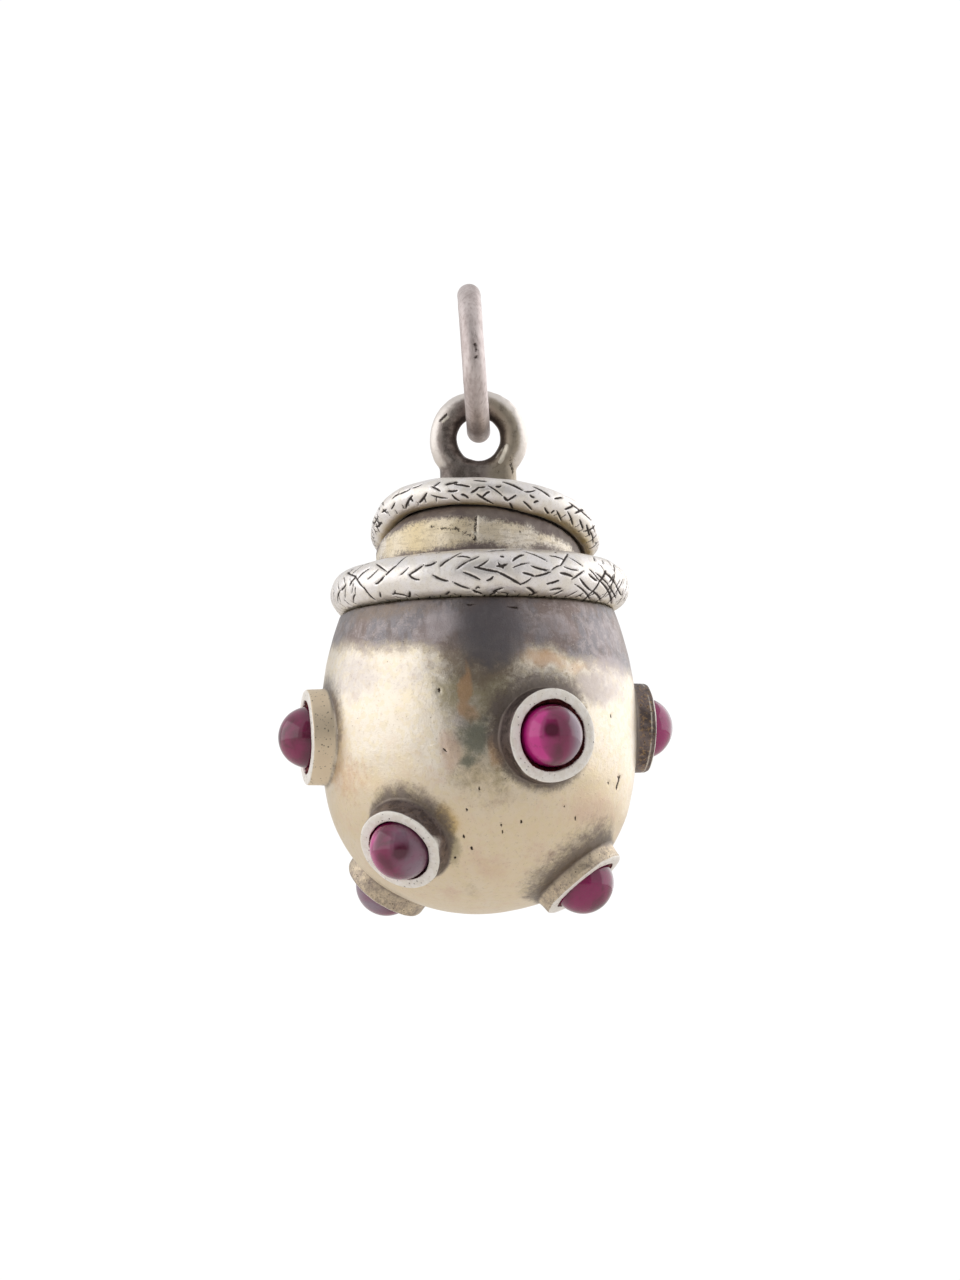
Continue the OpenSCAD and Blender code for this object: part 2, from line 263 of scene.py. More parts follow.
NECK_MARKS = [
    # (x and z of one end, x and z of the other, half width in mm, strength), seen from the front
    (-0.1, -14.0, -0.16, -15.5, 0.10, 0.8), (-2.9, -14.6, -1.6, -14.75, 0.16, 0.6),
    (-1.6, -14.6, -0.4, -15.2, 0.2, 0.62), (-1.2, -14.3, -0.3, -14.45, 0.2, 0.5),
    (-2.2, -13.95, -0.8, -13.95, 0.2, 0.5), (0.15, -14.75, 1.15, -14.7, 0.06, 0.45),
    (1.22, -14.3, 1.2, -15.2, 0.06, 0.4), (1.5, -14.1, 3.1, -15.2, 0.07, 0.6),
    (1.9, -14.1, 3.3, -14.9, 0.06, 0.5), (2.05, -9.85, 2.2, -10.6, 0.12, 0.72),
    (-2.45, -7.3, -2.0, -6.9, 0.09, 0.9), (2.0, -9.6, 2.45, -9.9, 0.08, 0.6),
    (0.3, -10.3, 1.5, -10.55, 0.07, 0.6), (-0.6, -10.55, 0.9, -10.75, 0.07, 0.5),
]
NECK_RIDGES = [
    # in the same form, bright edges
    (0.05, -13.95, 0.0, -15.4, 0.07, 0.75), (1.8, -8.9, 1.4, -9.9, 0.14, 0.9),
    (1.55, -9.0, 1.1, -9.6, 0.09, 0.6), (-2.25, -7.35, -1.9, -7.05, 0.10, 0.8),
    (-0.35, -14.9, -0.05, -15.2, 0.07, 0.8),
]
# The middle of the eyelet's hole, where the web and the hoop over it begin, and the front of the gold band
NECK_MIDDLE = (0.0, -8.36)
WEB_Z, HOOP_Z = -11.9, -10.6
BAND_FRONT_Y, BAND_TOP_Z = -3, -12.5

# Engraved strokes on the part of the snake that the photo shows: across and down, in the crop's pixels, of
# one end and then of the other
LOWER_STROKES = [
    (105, 375, 118, 300), (120, 298, 150, 262), (198, 368, 208, 325), (208, 322, 208, 280),
    (158, 206, 204, 163), (162, 188, 212, 212), (205, 212, 262, 292), (258, 285, 325, 357),
    (170, 272, 205, 220), (215, 232, 290, 165), (275, 235, 345, 170), (325, 262, 378, 212),
    (330, 138, 390, 185), (230, 152, 290, 134), (385, 210, 455, 145), (455, 145, 540, 75),
    (468, 208, 520, 160), (525, 205, 615, 145), (527, 208, 590, 235), (625, 150, 690, 125),
    (590, 85, 680, 58), (690, 75, 760, 53), (710, 155, 768, 108), (765, 110, 840, 68),
    (815, 95, 892, 104), (808, 172, 880, 122), (878, 123, 950, 92), (918, 163, 1002, 114),
    (915, 158, 1060, 190), (1055, 188, 1192, 268), (850, 190, 950, 237), (668, 208, 757, 246),
    (788, 250, 886, 291), (1055, 130, 1095, 166), (1048, 152, 1112, 140), (1070, 92, 1092, 95),
    (1000, 62, 1100, 56), (1145, 165, 1240, 135), (1145, 123, 1210, 85), (990, 240, 1030, 215),
    (1210, 66, 1350, 125), (1255, 150, 1362, 180), (1205, 195, 1275, 218), (1275, 218, 1370, 190),
    (1190, 265, 1252, 230), (1375, 182, 1430, 150), (1428, 152, 1475, 78), (1360, 90, 1450, 112),
    (1480, 100, 1562, 156), (1445, 155, 1532, 179), (1430, 195, 1500, 216), (1492, 238, 1570, 182),
    (1350, 262, 1422, 240), (1365, 302, 1432, 290), (1385, 330, 1440, 300), (1228, 286, 1275, 322),
    (1512, 262, 1602, 362), (1455, 345, 1532, 308), (1545, 228, 1610, 300), (1608, 298, 1665, 367),
    (1600, 168, 1660, 240), (1655, 235, 1732, 382), (1600, 200, 1650, 240), (1640, 190, 1712, 262),
    (1710, 262, 1762, 352), (1690, 190, 1757, 262), (1755, 262, 1792, 334), (1590, 332, 1662, 250),
    (1660, 252, 1702, 180), (1640, 372, 1722, 290), (1720, 292, 1752, 202), (1702, 384, 1762, 312),
    (1760, 314, 1802, 230), (1752, 394, 1802, 330), (1802, 330, 1826, 260), (1745, 147, 1750, 190),
    (1800, 390, 1832, 322), (1560, 362, 1592, 330), (350, 312, 356, 345), (425, 326, 441, 306),
    (440, 326, 525, 341), (530, 310, 525, 345), (745, 331, 766, 312), (905, 301, 962, 324),
    (925, 295, 945, 288), (1025, 311, 1086, 290), (1010, 331, 1052, 300), (1075, 316, 1120, 322),
    (1255, 331, 1286, 316), (1290, 345, 1330, 338),
]
UPPER_STROKES = [
    (345, 296, 395, 196), (380, 212, 400, 240), (450, 251, 506, 176), (540, 190, 665, 216),
    (235, 300, 262, 250), (170, 300, 205, 330), (165, 325, 200, 300), (545, 125, 610, 160),
    (560, 126, 612, 86), (650, 111, 740, 86), (720, 105, 832, 126), (670, 160, 740, 155),
    (700, 190, 756, 241), (770, 188, 820, 215), (845, 171, 900, 130), (900, 130, 950, 125),
    (865, 76, 960, 85), (890, 185, 1010, 262), (930, 206, 982, 165), (970, 116, 1080, 196),
    (1095, 206, 1122, 236), (1120, 236, 1186, 190), (1030, 122, 1070, 118), (1080, 86, 1230, 151),
    (1138, 258, 1152, 296), (1240, 241, 1302, 306), (1315, 121, 1440, 196), (1250, 162, 1330, 150),
    (1290, 190, 1322, 206), (1320, 250, 1352, 240), (1402, 290, 1432, 336), (1452, 330, 1478, 312),
    (1495, 310, 1530, 391), (1582, 320, 1616, 421), (1675, 382, 1701, 451), (1480, 216, 1540, 206),
    (1590, 245, 1680, 310), (1678, 308, 1762, 382), (100, 420, 130, 360), (120, 440, 160, 400),
    (240, 220, 300, 180), (300, 180, 380, 140), (400, 130, 470, 105), (1725, 420, 1748, 500),
    (1755, 470, 1775, 560), (1700, 470, 1790, 420), (1720, 560, 1800, 500), (1735, 610, 1805, 560),
    (1770, 420, 1790, 480), (1640, 330, 1700, 300), (1560, 300, 1620, 270),
]
# The fine grid of strokes, and all those out of sight, run in rows
HATCH = [
    # (first and last angle, place round the body, slant of the strokes, their length and spacing in mm)
    (-84, -55, 46, 50, 0.9, 1.1),
    (-84, -58, 14, -46, 0.85, 1.1),
    (-84, -56, -18, 52, 0.8, 1.0),
    (-82, -58, -46, -50, 0.6, 0.9),
    (-74, 62, -68, 76, 0.32, 0.75),
    (-60, 50, -60, -40, 0.28, 1.3),
    (-50, 40, 72, 60, 0.3, 1.2),
    (54, 84, 50, 50, 0.8, 1.1),
    (56, 84, 22, -46, 0.75, 1.2),
    (62, 84, 0, 50, 0.7, 1.1),
    (64, 84, -24, -46, 0.65, 1.1),
    (46, 84, -50, 52, 0.65, 1.0),
    (300, 322, 30, 50, 0.4, 1.0),
    (302, 340, -40, 62, 0.4, 0.9),
    (400, 440, -50, 66, 0.4, 0.9),
    (424, 442, 20, -50, 0.4, 1.0),
    (-186, -78, 62, 48, 1.1, 0.95),
    (-186, -78, 24, -44, 1.0, 0.9),
    (-186, -78, -10, 52, 1.0, 0.9),
    (-186, -78, -42, -52, 0.8, 0.9),
    (84, 300, 64, 44, 0.9, 0.74),
    (84, 300, 58, -44, 0.85, 0.78),
    (84, 300, 32, 46, 0.9, 0.74),
    (84, 300, 32, -44, 0.85, 0.78),
    (84, 296, 2, 46, 0.85, 0.74),
    (84, 296, 2, -44, 0.85, 0.78),
    (84, 290, -28, 46, 0.8, 0.74),
    (84, 290, -28, -44, 0.8, 0.78),
    (92, 270, -54, 44, 0.6, 0.8),
    (120, 300, 92, 40, 0.7, 0.9),
    (440, 478, 40, 46, 0.6, 0.6),
    (440, 478, 40, -44, 0.6, 0.6),
    (446, 478, 5, 48, 0.55, 0.6),
    (446, 478, 5, -44, 0.55, 0.6),
    (446, 478, -35, 48, 0.5, 0.6),
]
STROKE_REACH = 0.22

# The studio

WALL_DISTANCE = 0.9
CARD_DISTANCE = 950.0
BACKDROP_R = 4000


# Numbers and forms


def hermite(rows, at, column):
    """A smooth curve through one column of rows, whose first column grows."""
    table = np.array(rows, float)
    x, y = table[:, 0], table[:, column]
    i = np.clip(np.searchsorted(x, at, side="right"), 1, len(x) - 1)
    before, after = np.maximum(np.arange(len(x)) - 1, 0), np.minimum(np.arange(len(x)) + 1, len(x) - 1)
    slopes = (y[after] - y[before]) / (x[after] - x[before])
    width = x[i] - x[i - 1]
    t = (at - x[i - 1]) / width
    return (
        (2 * t**3 - 3 * t**2 + 1) * y[i - 1]
        + (t**3 - 2 * t**2 + t) * width * slopes[i - 1]
        + (3 * t**2 - 2 * t**3) * y[i]
        + (t**3 - t**2) * width * slopes[i]
    )


def around(r, degrees, z):
    """Points at a radius, an angle counted from the front towards +X, and a height."""
    a = np.radians(degrees)
    r, a, z = np.broadcast_arrays(r, a, z)
    return np.stack([AXIS_X + r * np.sin(a), -r * np.cos(a), z], axis=-1)


def unit(v):
    return v / np.linalg.norm(v, axis=-1, keepdims=True)


def smooth(x):
    x = np.clip(x, 0, 1)
    return x * x * (3 - 2 * x)


def waves(points, size, seed, count=14):
    """Seeded soft unevenness, mostly from -1 to 1, whose swells are about size mm long."""
    rng = np.random.default_rng(seed)
    turns = rng.normal(size=(count, 3)) * (3.2 / size)
    phases = rng.uniform(0, 2 * math.pi, count)
    return np.sin(points @ turns.T + phases).sum(axis=-1) * math.sqrt(1.2 / count)


def near_line(points, start, end, reach):
    """1 on the straight line between two points, falling evenly to 0 at a distance of reach mm."""
    start, line = np.array(start, float), np.array(end, float) - np.array(start, float)
    t = np.clip((points - start) @ line / max(line @ line, 1e-9), 0, 1)
    return np.clip(1 - np.linalg.norm(points - start - t[..., None] * line, axis=-1) / reach, 0, 1)


def surface(name, points, closed=True, outward=True):
    """A mesh object from rows of points. Where closed, each row runs all the way round."""
    rows, count = points.shape[:2]
    index = np.arange(rows * count).reshape(rows, count)
    following = np.roll(index, -1, axis=1)
    quads = np.stack([index[:-1], index[1:], following[1:], following[:-1]], axis=-1)
    if not closed:
        quads = quads[:, :-1]
    if not outward:
        quads = quads[..., ::-1]
    return solid(name, points.reshape(-1, 3), quads.reshape(-1, 4))


def solid(name, points, faces):
    """A mesh object from points in millimetres."""
    mesh = bpy.data.meshes.new(name)
    mesh.from_pydata((points * MM).tolist(), [], faces.tolist())
    mesh.validate()
    mesh.shade_smooth()
    piece = bpy.data.objects.new(name, mesh)
    bpy.context.scene.collection.objects.link(piece)
    return piece


def paint_values(piece, **values):
    """Keeps a number for each point of a piece, for its material to read."""
    for name, numbers in values.items():
        attribute = piece.data.attributes.new(name, "FLOAT", "POINT")
        attribute.data.foreach_set("value", np.ascontiguousarray(numbers, np.float32).reshape(-1))


def dress(piece, body, material, slot, *nodes):
    """Gives a piece its material, the body that it rides on and the nodes that it stands for."""
    piece.data.materials.append(material)
    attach(piece, body)
    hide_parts(*nodes)
    return piece


# The snake's path


def lower_turn_z(a):
    """Height of the middle of the lower turn, which leans, at angles in degrees."""
    return TURN_Z + (TIP_FRONT * np.cos(np.radians(a)) + TIP_RIGHT * np.sin(np.radians(a)))


def snake_path(a):
    """Points of the snake's path at angles in degrees."""
    return around(TURN_R + hermite(SNAKE, a, 1), a, lower_turn_z(a) + hermite(SNAKE, a, 2))


def snake_sides(a):
    """The directions out of the snake's path and up its body, at angles in degrees."""
    along = unit(snake_path(a + 0.5) - snake_path(a - 0.5))
    radial = around(1.0, a, 0.0) - AXIS
    out = unit(radial - (radial * along).sum(axis=-1, keepdims=True) * along)
    up = np.cross(along, out)
    return out, up * np.sign(up[..., 2:3])


def snake_radius(a):
    """Radius of the snake's body at angles in degrees, with its two ends rounded off."""
    t = np.minimum(np.minimum(a - SNAKE[0][0], SNAKE[-1][0] - a) / TIP_LENGTH, 1)
    ends = np.sqrt(np.maximum(1 - (1 - t) ** 2, 0.0004))
    return hermite(SNAKE, a, 3) * SNAKE_R * ends


def gap_to_snake(points):
    """How far points lie from the snake's skin, in mm."""
    a = np.arange(SNAKE[0][0], SNAKE[-1][0], 3.0)
    path, radius = snake_path(a), snake_radius(a)
    found = np.full(len(points), 99.0)
    for p, r in zip(path, radius):
        found = np.minimum(found, np.linalg.norm(points - p, axis=1) - r)
    return found


# The egg's surface


def arc_centres():
    side = np.array([EGG_R - SIDE_ARC, BELLY_Z])
    bottom = np.array([0, BOTTOM_ARC + BOTTOM_Z])
    ra, rb = SIDE_ARC - CORNER_ARC, BOTTOM_ARC - CORNER_ARC
    d = np.linalg.norm(bottom - side)
    u = (bottom - side) / d
    along = (ra * ra - rb * rb + d * d) / (2 * d)
    across = math.sqrt(ra * ra - along * along)
    return side, side + along * u + across * np.array([u[1], -u[0]]), bottom


SIDE_C, CORNER_C, BOTTOM_C = arc_centres()
LOW = math.atan2(CORNER_C[1] - SIDE_C[1], CORNER_C[0] - SIDE_C[0])
FOOT = math.atan2(CORNER_C[1] - BOTTOM_C[1], CORNER_C[0] - BOTTOM_C[0])


def arc_of(facing):
    """Centre and radius of the egg's arc that faces an elevation in radians."""
    if facing >= LOW:
        return SIDE_C, SIDE_ARC
    return (CORNER_C, CORNER_ARC) if facing >= FOOT else (BOTTOM_C, BOTTOM_ARC)


def egg_distance(points):
    """How far points lie outside the smooth egg, in mm."""
    r = np.hypot(points[..., 0] - AXIS_X, points[..., 1])
    z = points[..., 2]
    facing = np.arctan2(z - CORNER_C[1], r - CORNER_C[0])
    side = np.hypot(r - SIDE_C[0], z - SIDE_C[1]) - SIDE_ARC
    corner = np.hypot(r - CORNER_C[0], z - CORNER_C[1]) - CORNER_ARC
    bottom = np.hypot(r - BOTTOM_C[0], z - BOTTOM_C[1]) - BOTTOM_ARC
    return np.where(facing >= LOW, side, np.where(facing >= FOOT, corner, bottom))


def radius_at(z):
    """The smooth egg's radius at a height, in mm."""
    centre, r = next((c, r) for c, r, low in (
        (SIDE_C, SIDE_ARC, SIDE_C[1] + SIDE_ARC * math.sin(LOW)),
        (CORNER_C, CORNER_ARC, CORNER_C[1] + CORNER_ARC * math.sin(FOOT)),
        (BOTTOM_C, BOTTOM_ARC, BOTTOM_Z)) if z >= low)
    return centre[0] + math.sqrt(max(r**2 - (z - centre[1]) ** 2, 0))


def hand_raised(points):
    """How far the hand-raised metal lies off the smooth egg, in mm."""
    return 0.022 * waves(points, 5.5, 3) + 0.007 * waves(points, 1.8, 4)


def stone_frame(place):
    """Where a stone sits on the egg, and the directions across it, up it and out of it."""
    facing = math.radians(place[1])
    centre, r = arc_of(facing)
    spot = centre + r * np.array([math.cos(facing), math.sin(facing)])
    a = math.radians(place[0])
    outward = np.array([math.sin(a), -math.cos(a), 0.0])
    across = np.array([math.cos(a), math.sin(a), 0.0])
    out = outward * math.cos(facing) + np.array([0, 0, math.sin(facing)])
    up = np.cross(out, across)
    return around(spot[0], place[0], spot[1]), across, up, out


# From the photo to the pendant


def photo_camera():
    """Where the photo's camera stands, and the directions back to it, to its right and up."""
    a, e = PHOTO_AZIMUTH, PHOTO_ELEVATION
    back = np.array([math.sin(a) * math.cos(e), -math.cos(a) * math.cos(e), math.sin(e)])
    right = np.array([math.cos(a), math.sin(a), 0])
    across, down = PHOTO_AXIS - PHOTO_WIDTH / 2, PHOTO_HEIGHT / 2 - PHOTO_TOP
    aim = AXIS - right * (across / PHOTO_SCALE) - np.array([0, 0, 1]) * (down / PHOTO_SCALE / math.cos(e))
    return aim + back * PHOTO_DISTANCE, back, right, -np.cross(right, back)


CAMERA_AT, CAMERA_BACK, CAMERA_RIGHT, CAMERA_UP = photo_camera()
# How far from the camera the pendant is looked for
SIGHT_START, SIGHT_END = PHOTO_DISTANCE - 30, PHOTO_DISTANCE + 30


def in_photo(crop, across, down):
    """The photo's pixel at a place in a crop."""
    left, top, larger = crop
    return left + across / larger, top + down / larger


def sight(pixel):
    """The direction in which the photo's camera sees a pixel."""
    right, up = (pixel[0] - PHOTO_WIDTH / 2) / PHOTO_SCALE, (PHOTO_HEIGHT / 2 - pixel[1]) / PHOTO_SCALE
    return unit(CAMERA_RIGHT * right + CAMERA_UP * up - CAMERA_BACK * PHOTO_DISTANCE)


def on_egg(pixel):
    """The egg's angle and height at a pixel of the photo, or None where it shows no egg."""
    ray, far = sight(pixel), SIGHT_START
    while far < SIGHT_END:
        spot = CAMERA_AT + ray * far
        off = float(egg_distance(spot))
        if off < 1e-4:
            return math.degrees(math.atan2(spot[0] - AXIS_X, -spot[1])), spot[2]
        far += off * 0.9
    return None


def on_snake(pixel, a):
    """The angle along the snake, out of those in a, and the place round its body at a pixel, in degrees."""
    path, radius, ray, far = snake_path(a), snake_radius(a), sight(pixel), SIGHT_START
    nearest, found = math.inf, None
    while far < SIGHT_END and nearest > 1e-3:
        spot = CAMERA_AT + ray * far
        gaps = np.linalg.norm(path - spot, axis=1) - radius
        i = int(gaps.argmin())
        if gaps[i] < nearest:
            nearest, found = gaps[i], (i, spot)
        far += max(gaps[i] * 0.8, 0.01)
    i, spot = found
    (out, up), off = snake_sides(a[i]), spot - path[i]
    return round(a[i], 1), round(math.degrees(math.atan2(off @ up, off @ out)))


def charted_stains():
    """The stains read in the photo, in the same form as FURTHER_STAINS."""
    stains = []
    for kind, crop, across, down, wide, high, strength in CHARTED_STAINS:
        angle, z = on_egg(in_photo(crop, across, down))
        upper, lower = (on_egg(in_photo(crop, across, down + to)) for to in (-high, high))
        shown = crop[2] * PHOTO_SCALE
        # a stain looks narrower towards the egg's side, which is made up for as far as it can be trusted
        half = wide / shown / max(math.cos(math.radians(angle)), 0.3)
        tall = abs(upper[1] - lower[1]) / 2 if upper and lower else high / shown
        stains.append((kind, round(angle, 1), round(z, 1), round(half, 2), round(tall, 2), strength))
    return stains


def charted_strokes():
    """The strokes read in the photo: angle and place round the body of one end and then of the other."""
    strokes = []
    # (crop, its strokes, first and last angle along the snake that it shows)
    turns = (LOWER_TURN, LOWER_STROKES, -95, 95), (UPPER_TURN, UPPER_STROKES, 255, 470)
    for crop, table, first, last in turns:
        a = np.arange(first, last + 0.01, 0.25)
        for x1, y1, x2, y2 in table:
            strokes.append((*on_snake(in_photo(crop, x1, y1), a), *on_snake(in_photo(crop, x2, y2), a)))
    return strokes


STAINS = charted_stains() + FURTHER_STAINS


# Tarnish


def egg_values(points):
    """Tarnish and painted shade at points of the egg: stains, halos round the bezels, the band under the
    snake, shade next to the snake, the warm lower part and marks.
    """
    r = np.hypot(points[:, 0] - AXIS_X, points[:, 1])
    angle = np.degrees(np.arctan2(points[:, 0] - AXIS_X, -points[:, 1]))
    values = {kind: np.zeros(len(points)) for kind in STAIN_KINDS}
    warp = 0.16 * waves(points, 1.1, 11)
    for kind, at, z, wide, high, strength in STAINS:
        across = np.radians((angle - at + 180) % 360 - 180) * r + warp
        far = np.hypot(across / wide, (points[:, 2] - z - warp) / high)
        values[kind] = np.maximum(values[kind], strength * np.clip(1.5 - far, 0, 1))
    # the halos round the bezels: tarnish, and painted shade in the creases at their feet
    halo_tarnish_and_shade = np.zeros(len(points))
    for place, (strength, wide, more, toward) in zip(STONES, HALOS):
        spot, across, up, out = stone_frame(place)
        x, y = (points - spot) @ across, (points - spot) @ up
        side = smooth(np.cos(np.arctan2(y, x) - math.radians(toward)))
        far = (np.hypot(x, y) - 2.8) / (2 * (wide + more * side))
        near = ((points - spot) @ out > -4) * (far > -0.6)
        halo_tarnish_and_shade = np.maximum(halo_tarnish_and_shade, near * strength * np.clip(1 - far, 0, 1))
    foot = np.interp(angle, *np.array(BAND_FOOT).T)
    band = np.clip(0.5 + (points[:, 2] - foot + 0.12 * waves(points, 1.4, 12)) / 1.6, 0, 1)
    shade = np.exp(-np.maximum(gap_to_snake(points), 0) / 0.2)
    warm = smooth((-27.5 - points[:, 2] + 0.6 * waves(points, 3.0, 13)) / 5)
    marks = np.zeros(len(points))
    for a1, z1, a2, z2, wide in EGG_MARKS:
        ends = [around(radius_at(z), a, z) for a, z in ((a1, z1), (a2, z2))]
        marks = np.maximum(marks, near_line(points, *ends, 1.5 * wide + 0.03))
    return {**values, "halo_tarnish_and_shade": halo_tarnish_and_shade, "band": band, "shade": shade, "warm": warm, "marks": marks}


# Materials, with maths on sockets written as plain expressions


class Value:
    """A number or colour socket that can be used in expressions."""

    def __init__(self, paint, socket):
        self.paint, self.socket = paint, socket

    def maths(self, operation, *others, clamp=False):
        return self.paint.node("ShaderNodeMath", [self, *others], operation=operation, use_clamp=clamp)

    def __add__(self, other):
        return self.maths("ADD", other)

    def __sub__(self, other):
        return self.maths("SUBTRACT", other)

    def __rsub__(self, other):
        return self.paint.node("ShaderNodeMath", [other, self], operation="SUBTRACT")

    def __mul__(self, other):
        return self.maths("MULTIPLY", other)

    __radd__, __rmul__ = __add__, __mul__

    def clear(self, low, high):
        """0 below low and 1 above high, smooth between them."""
        return self.paint.node("ShaderNodeMapRange", {"Value": self, "From Min": low, "From Max": high},
                               interpolation_type="SMOOTHSTEP")

    def held(self):
        return self.maths("ADD", 0.0, clamp=True)


class Paint:
    """Builds one material, whose patterns are laid out in millimetres of the piece's own space."""

    def __init__(self, name):
        self.material = bpy.data.materials.new(name)
        self.material.use_nodes = True
        self.tree = self.material.node_tree
        self.shader = self.tree.nodes["Principled BSDF"]
        place = self.node("ShaderNodeTexCoord", {}, output="Object")
        self.place = self.node("ShaderNodeVectorMath", [place, (1 / MM,) * 3], operation="MULTIPLY")

    def node(self, kind, sockets, output=0, **settings):
        """Adds a node: its settings first, then the values or links of its sockets."""
        made = self.tree.nodes.new(kind)
        for name, setting in settings.items():
            setattr(made, name, setting)
        pairs = sockets.items() if isinstance(sockets, dict) else enumerate(sockets)
        for name, value in pairs:
            self.feed(made.inputs[name], value)
        return Value(self, made.outputs[output])

    def feed(self, socket, value):
        if isinstance(value, Value):
            self.tree.links.new(value.socket, socket)
        elif isinstance(value, (tuple, list)) and socket.type == "RGBA":
            socket.default_value = (*value[:3], 1)
        else:
            socket.default_value = value

    def kept(self, name):
        """A number that was kept for each point of the piece."""
        return self.node("ShaderNodeAttribute", {}, output="Fac", attribute_name=name)

    def noise(self, size, detail=3.0, rough=0.55, distortion=0.0):
        """Noise from 0 to 1 whose grains are about size mm."""
        return self.node("ShaderNodeTexNoise", {
            "Vector": self.place, "Scale": 1 / size, "Detail": detail, "Roughness": rough,
            "Distortion": distortion})

    def stretched(self, size, across, **more):
        """Noise drawn out along the direction in which across is small."""
        place = self.node("ShaderNodeVectorMath", [self.place, across], operation="MULTIPLY")
        return self.node("ShaderNodeTexNoise", {"Vector": place, "Scale": 1 / size, "Detail": 3.0, **more})

    def pits(self, size, share):
        """1 in small round pits set about size mm apart, 0 between them."""
        cells = self.node("ShaderNodeTexVoronoi", {"Vector": self.place, "Scale": 1 / size})
        return 1 - cells.clear(share * 0.5, share)

    def mix(self, share, first, second):
        return self.node("ShaderNodeMix", {0: share, 6: first, 7: second}, output=2, data_type="RGBA",
                         clamp_factor=True)

    def bump(self, height, depth):
        """Relief of depth mm."""
        return self.node("ShaderNodeBump", {"Height": height, "Distance": depth * MM})

    def finish(self, **sockets):
        """Feeds the shader's sockets, whose names are given with underscores, and returns the material."""
        for name, value in sockets.items():
            self.feed(self.shader.inputs[name.replace("_", " ")], value)
        return self.material


def ring_metal(looks):
    paint = Paint("ring_silver")
    cloud, grain = paint.noise(1.6, 4), paint.stretched(0.16, (1, 1, 0.3))
    fine, marks = paint.noise(0.18, 3, 0.6), paint.kept("marks")
    colour = paint.mix(cloud.clear(0.42, 0.62), tuple(looks.silver), tuple(looks.dull))
    colour = paint.mix(grain.clear(0.5, 0.7) * 0.45, colour, (0.36, 0.30, 0.28))
    colour = paint.mix(grain.clear(0.5, 0.32) * 0.35, colour, (0.80, 0.74, 0.72))
    dark = (marks + (fine - 0.5) * 1.3 * marks.clear(0, 0.2)).clear(0.25, 0.8)
    colour = paint.mix(dark * (0.35 + marks).held(), colour, (0.06, 0.042, 0.038))
    rough = 0.4 + cloud * 0.14 + dark * 0.3
    relief = grain * 0.45 + cloud * 0.7 - dark * 2.0
    return paint.finish(Base_Color=colour, Metallic=0.88, Roughness=rough, Normal=paint.bump(relief, 0.03))


def neck_metal(looks):
    paint = Paint("neck_gilt")
    recess, loop = paint.kept("recess"), paint.kept("loop")
    cloud, blotch = paint.noise(1.3, 4, 0.6), paint.noise(0.5, 5, 0.7, 0.3)
    fine, speck = paint.noise(0.2, 4, 0.7), paint.noise(0.07, 2)
    drawn = paint.stretched(0.3, (0.35, 0.35, 1.7))
    gold = paint.mix(cloud.clear(0.42, 0.58), tuple(looks.gold), tuple(looks.pale))
    gold = paint.mix((paint.kept("yellow") * (0.5 + cloud)).held() * 0.85, gold, tuple(looks.yellow))
    gold = paint.mix(drawn.clear(0.5, 0.7) * 0.4, gold, (0.44, 0.35, 0.22))
    gold = paint.mix(fine.clear(0.52, 0.66) * 0.35, gold, (0.36, 0.29, 0.20))
    gold = paint.mix(speck.clear(0.55, 0.7) * 0.35, gold, (0.20, 0.14, 0.09))
    worn = paint.mix(cloud.clear(0.4, 0.6), tuple(looks.tarnish), tuple(looks.worn))
    worn = paint.mix(paint.kept("tan") * 0.75, worn, (0.46, 0.395, 0.30))
    worn = paint.mix(blotch.clear(0.5, 0.68) * 0.5, worn, (0.10, 0.08, 0.07))
    inner = (paint.kept("inner") + (blotch - 0.5) * 0.8 + (fine - 0.5) * 0.4).clear(0.15, 1.0)
    worn = paint.mix(inner * 0.85, worn, (0.085, 0.066, 0.058))
    edge = (paint.kept("edge") + (blotch - 0.5) * 0.7 + (fine - 0.5) * 0.5).clear(0.2, 1.0)
    worn = paint.mix(edge * 0.9, worn, (0.84, 0.78, 0.735))
    colour = paint.mix(loop, gold, worn)
    dark = (recess + (blotch - 0.5) * 0.45 + (fine - 0.5) * 0.55 + (speck - 0.5) * 0.3).clear(0.2, 0.58)
    shadow = paint.mix(cloud.clear(0.4, 0.6), (0.15, 0.115, 0.115), (0.22, 0.18, 0.165))
    colour = paint.mix(dark * 0.94, colour, shadow)
    marks = (paint.kept("marks") + (fine - 0.5) * 0.9 + (speck - 0.5) * 0.6).clear(0.5, 0.68)
    colour = paint.mix(marks * 0.9, colour, (0.03, 0.02, 0.014))
    # painted shade where the snake touches the neck
    colour = paint.mix(paint.kept("contact").held(), colour, (0.05, 0.035, 0.02))
    ridge = (paint.kept("ridge") + (fine - 0.5) * 0.5).clear(0.4, 0.65)
    colour = paint.mix(ridge * 0.7, colour, (0.90, 0.84, 0.72))
    rough = 0.27 + fine * 0.14 + dark * 0.14 + loop * 0.05
    relief = cloud * 1.2 + blotch * 0.6 + fine * 0.5 + drawn * 0.3 - marks * 1.4 + ridge
    metal = 0.5 + loop * 0.38
    return paint.finish(Base_Color=colour, Metallic=metal, Roughness=rough, Normal=paint.bump(relief, 0.03))


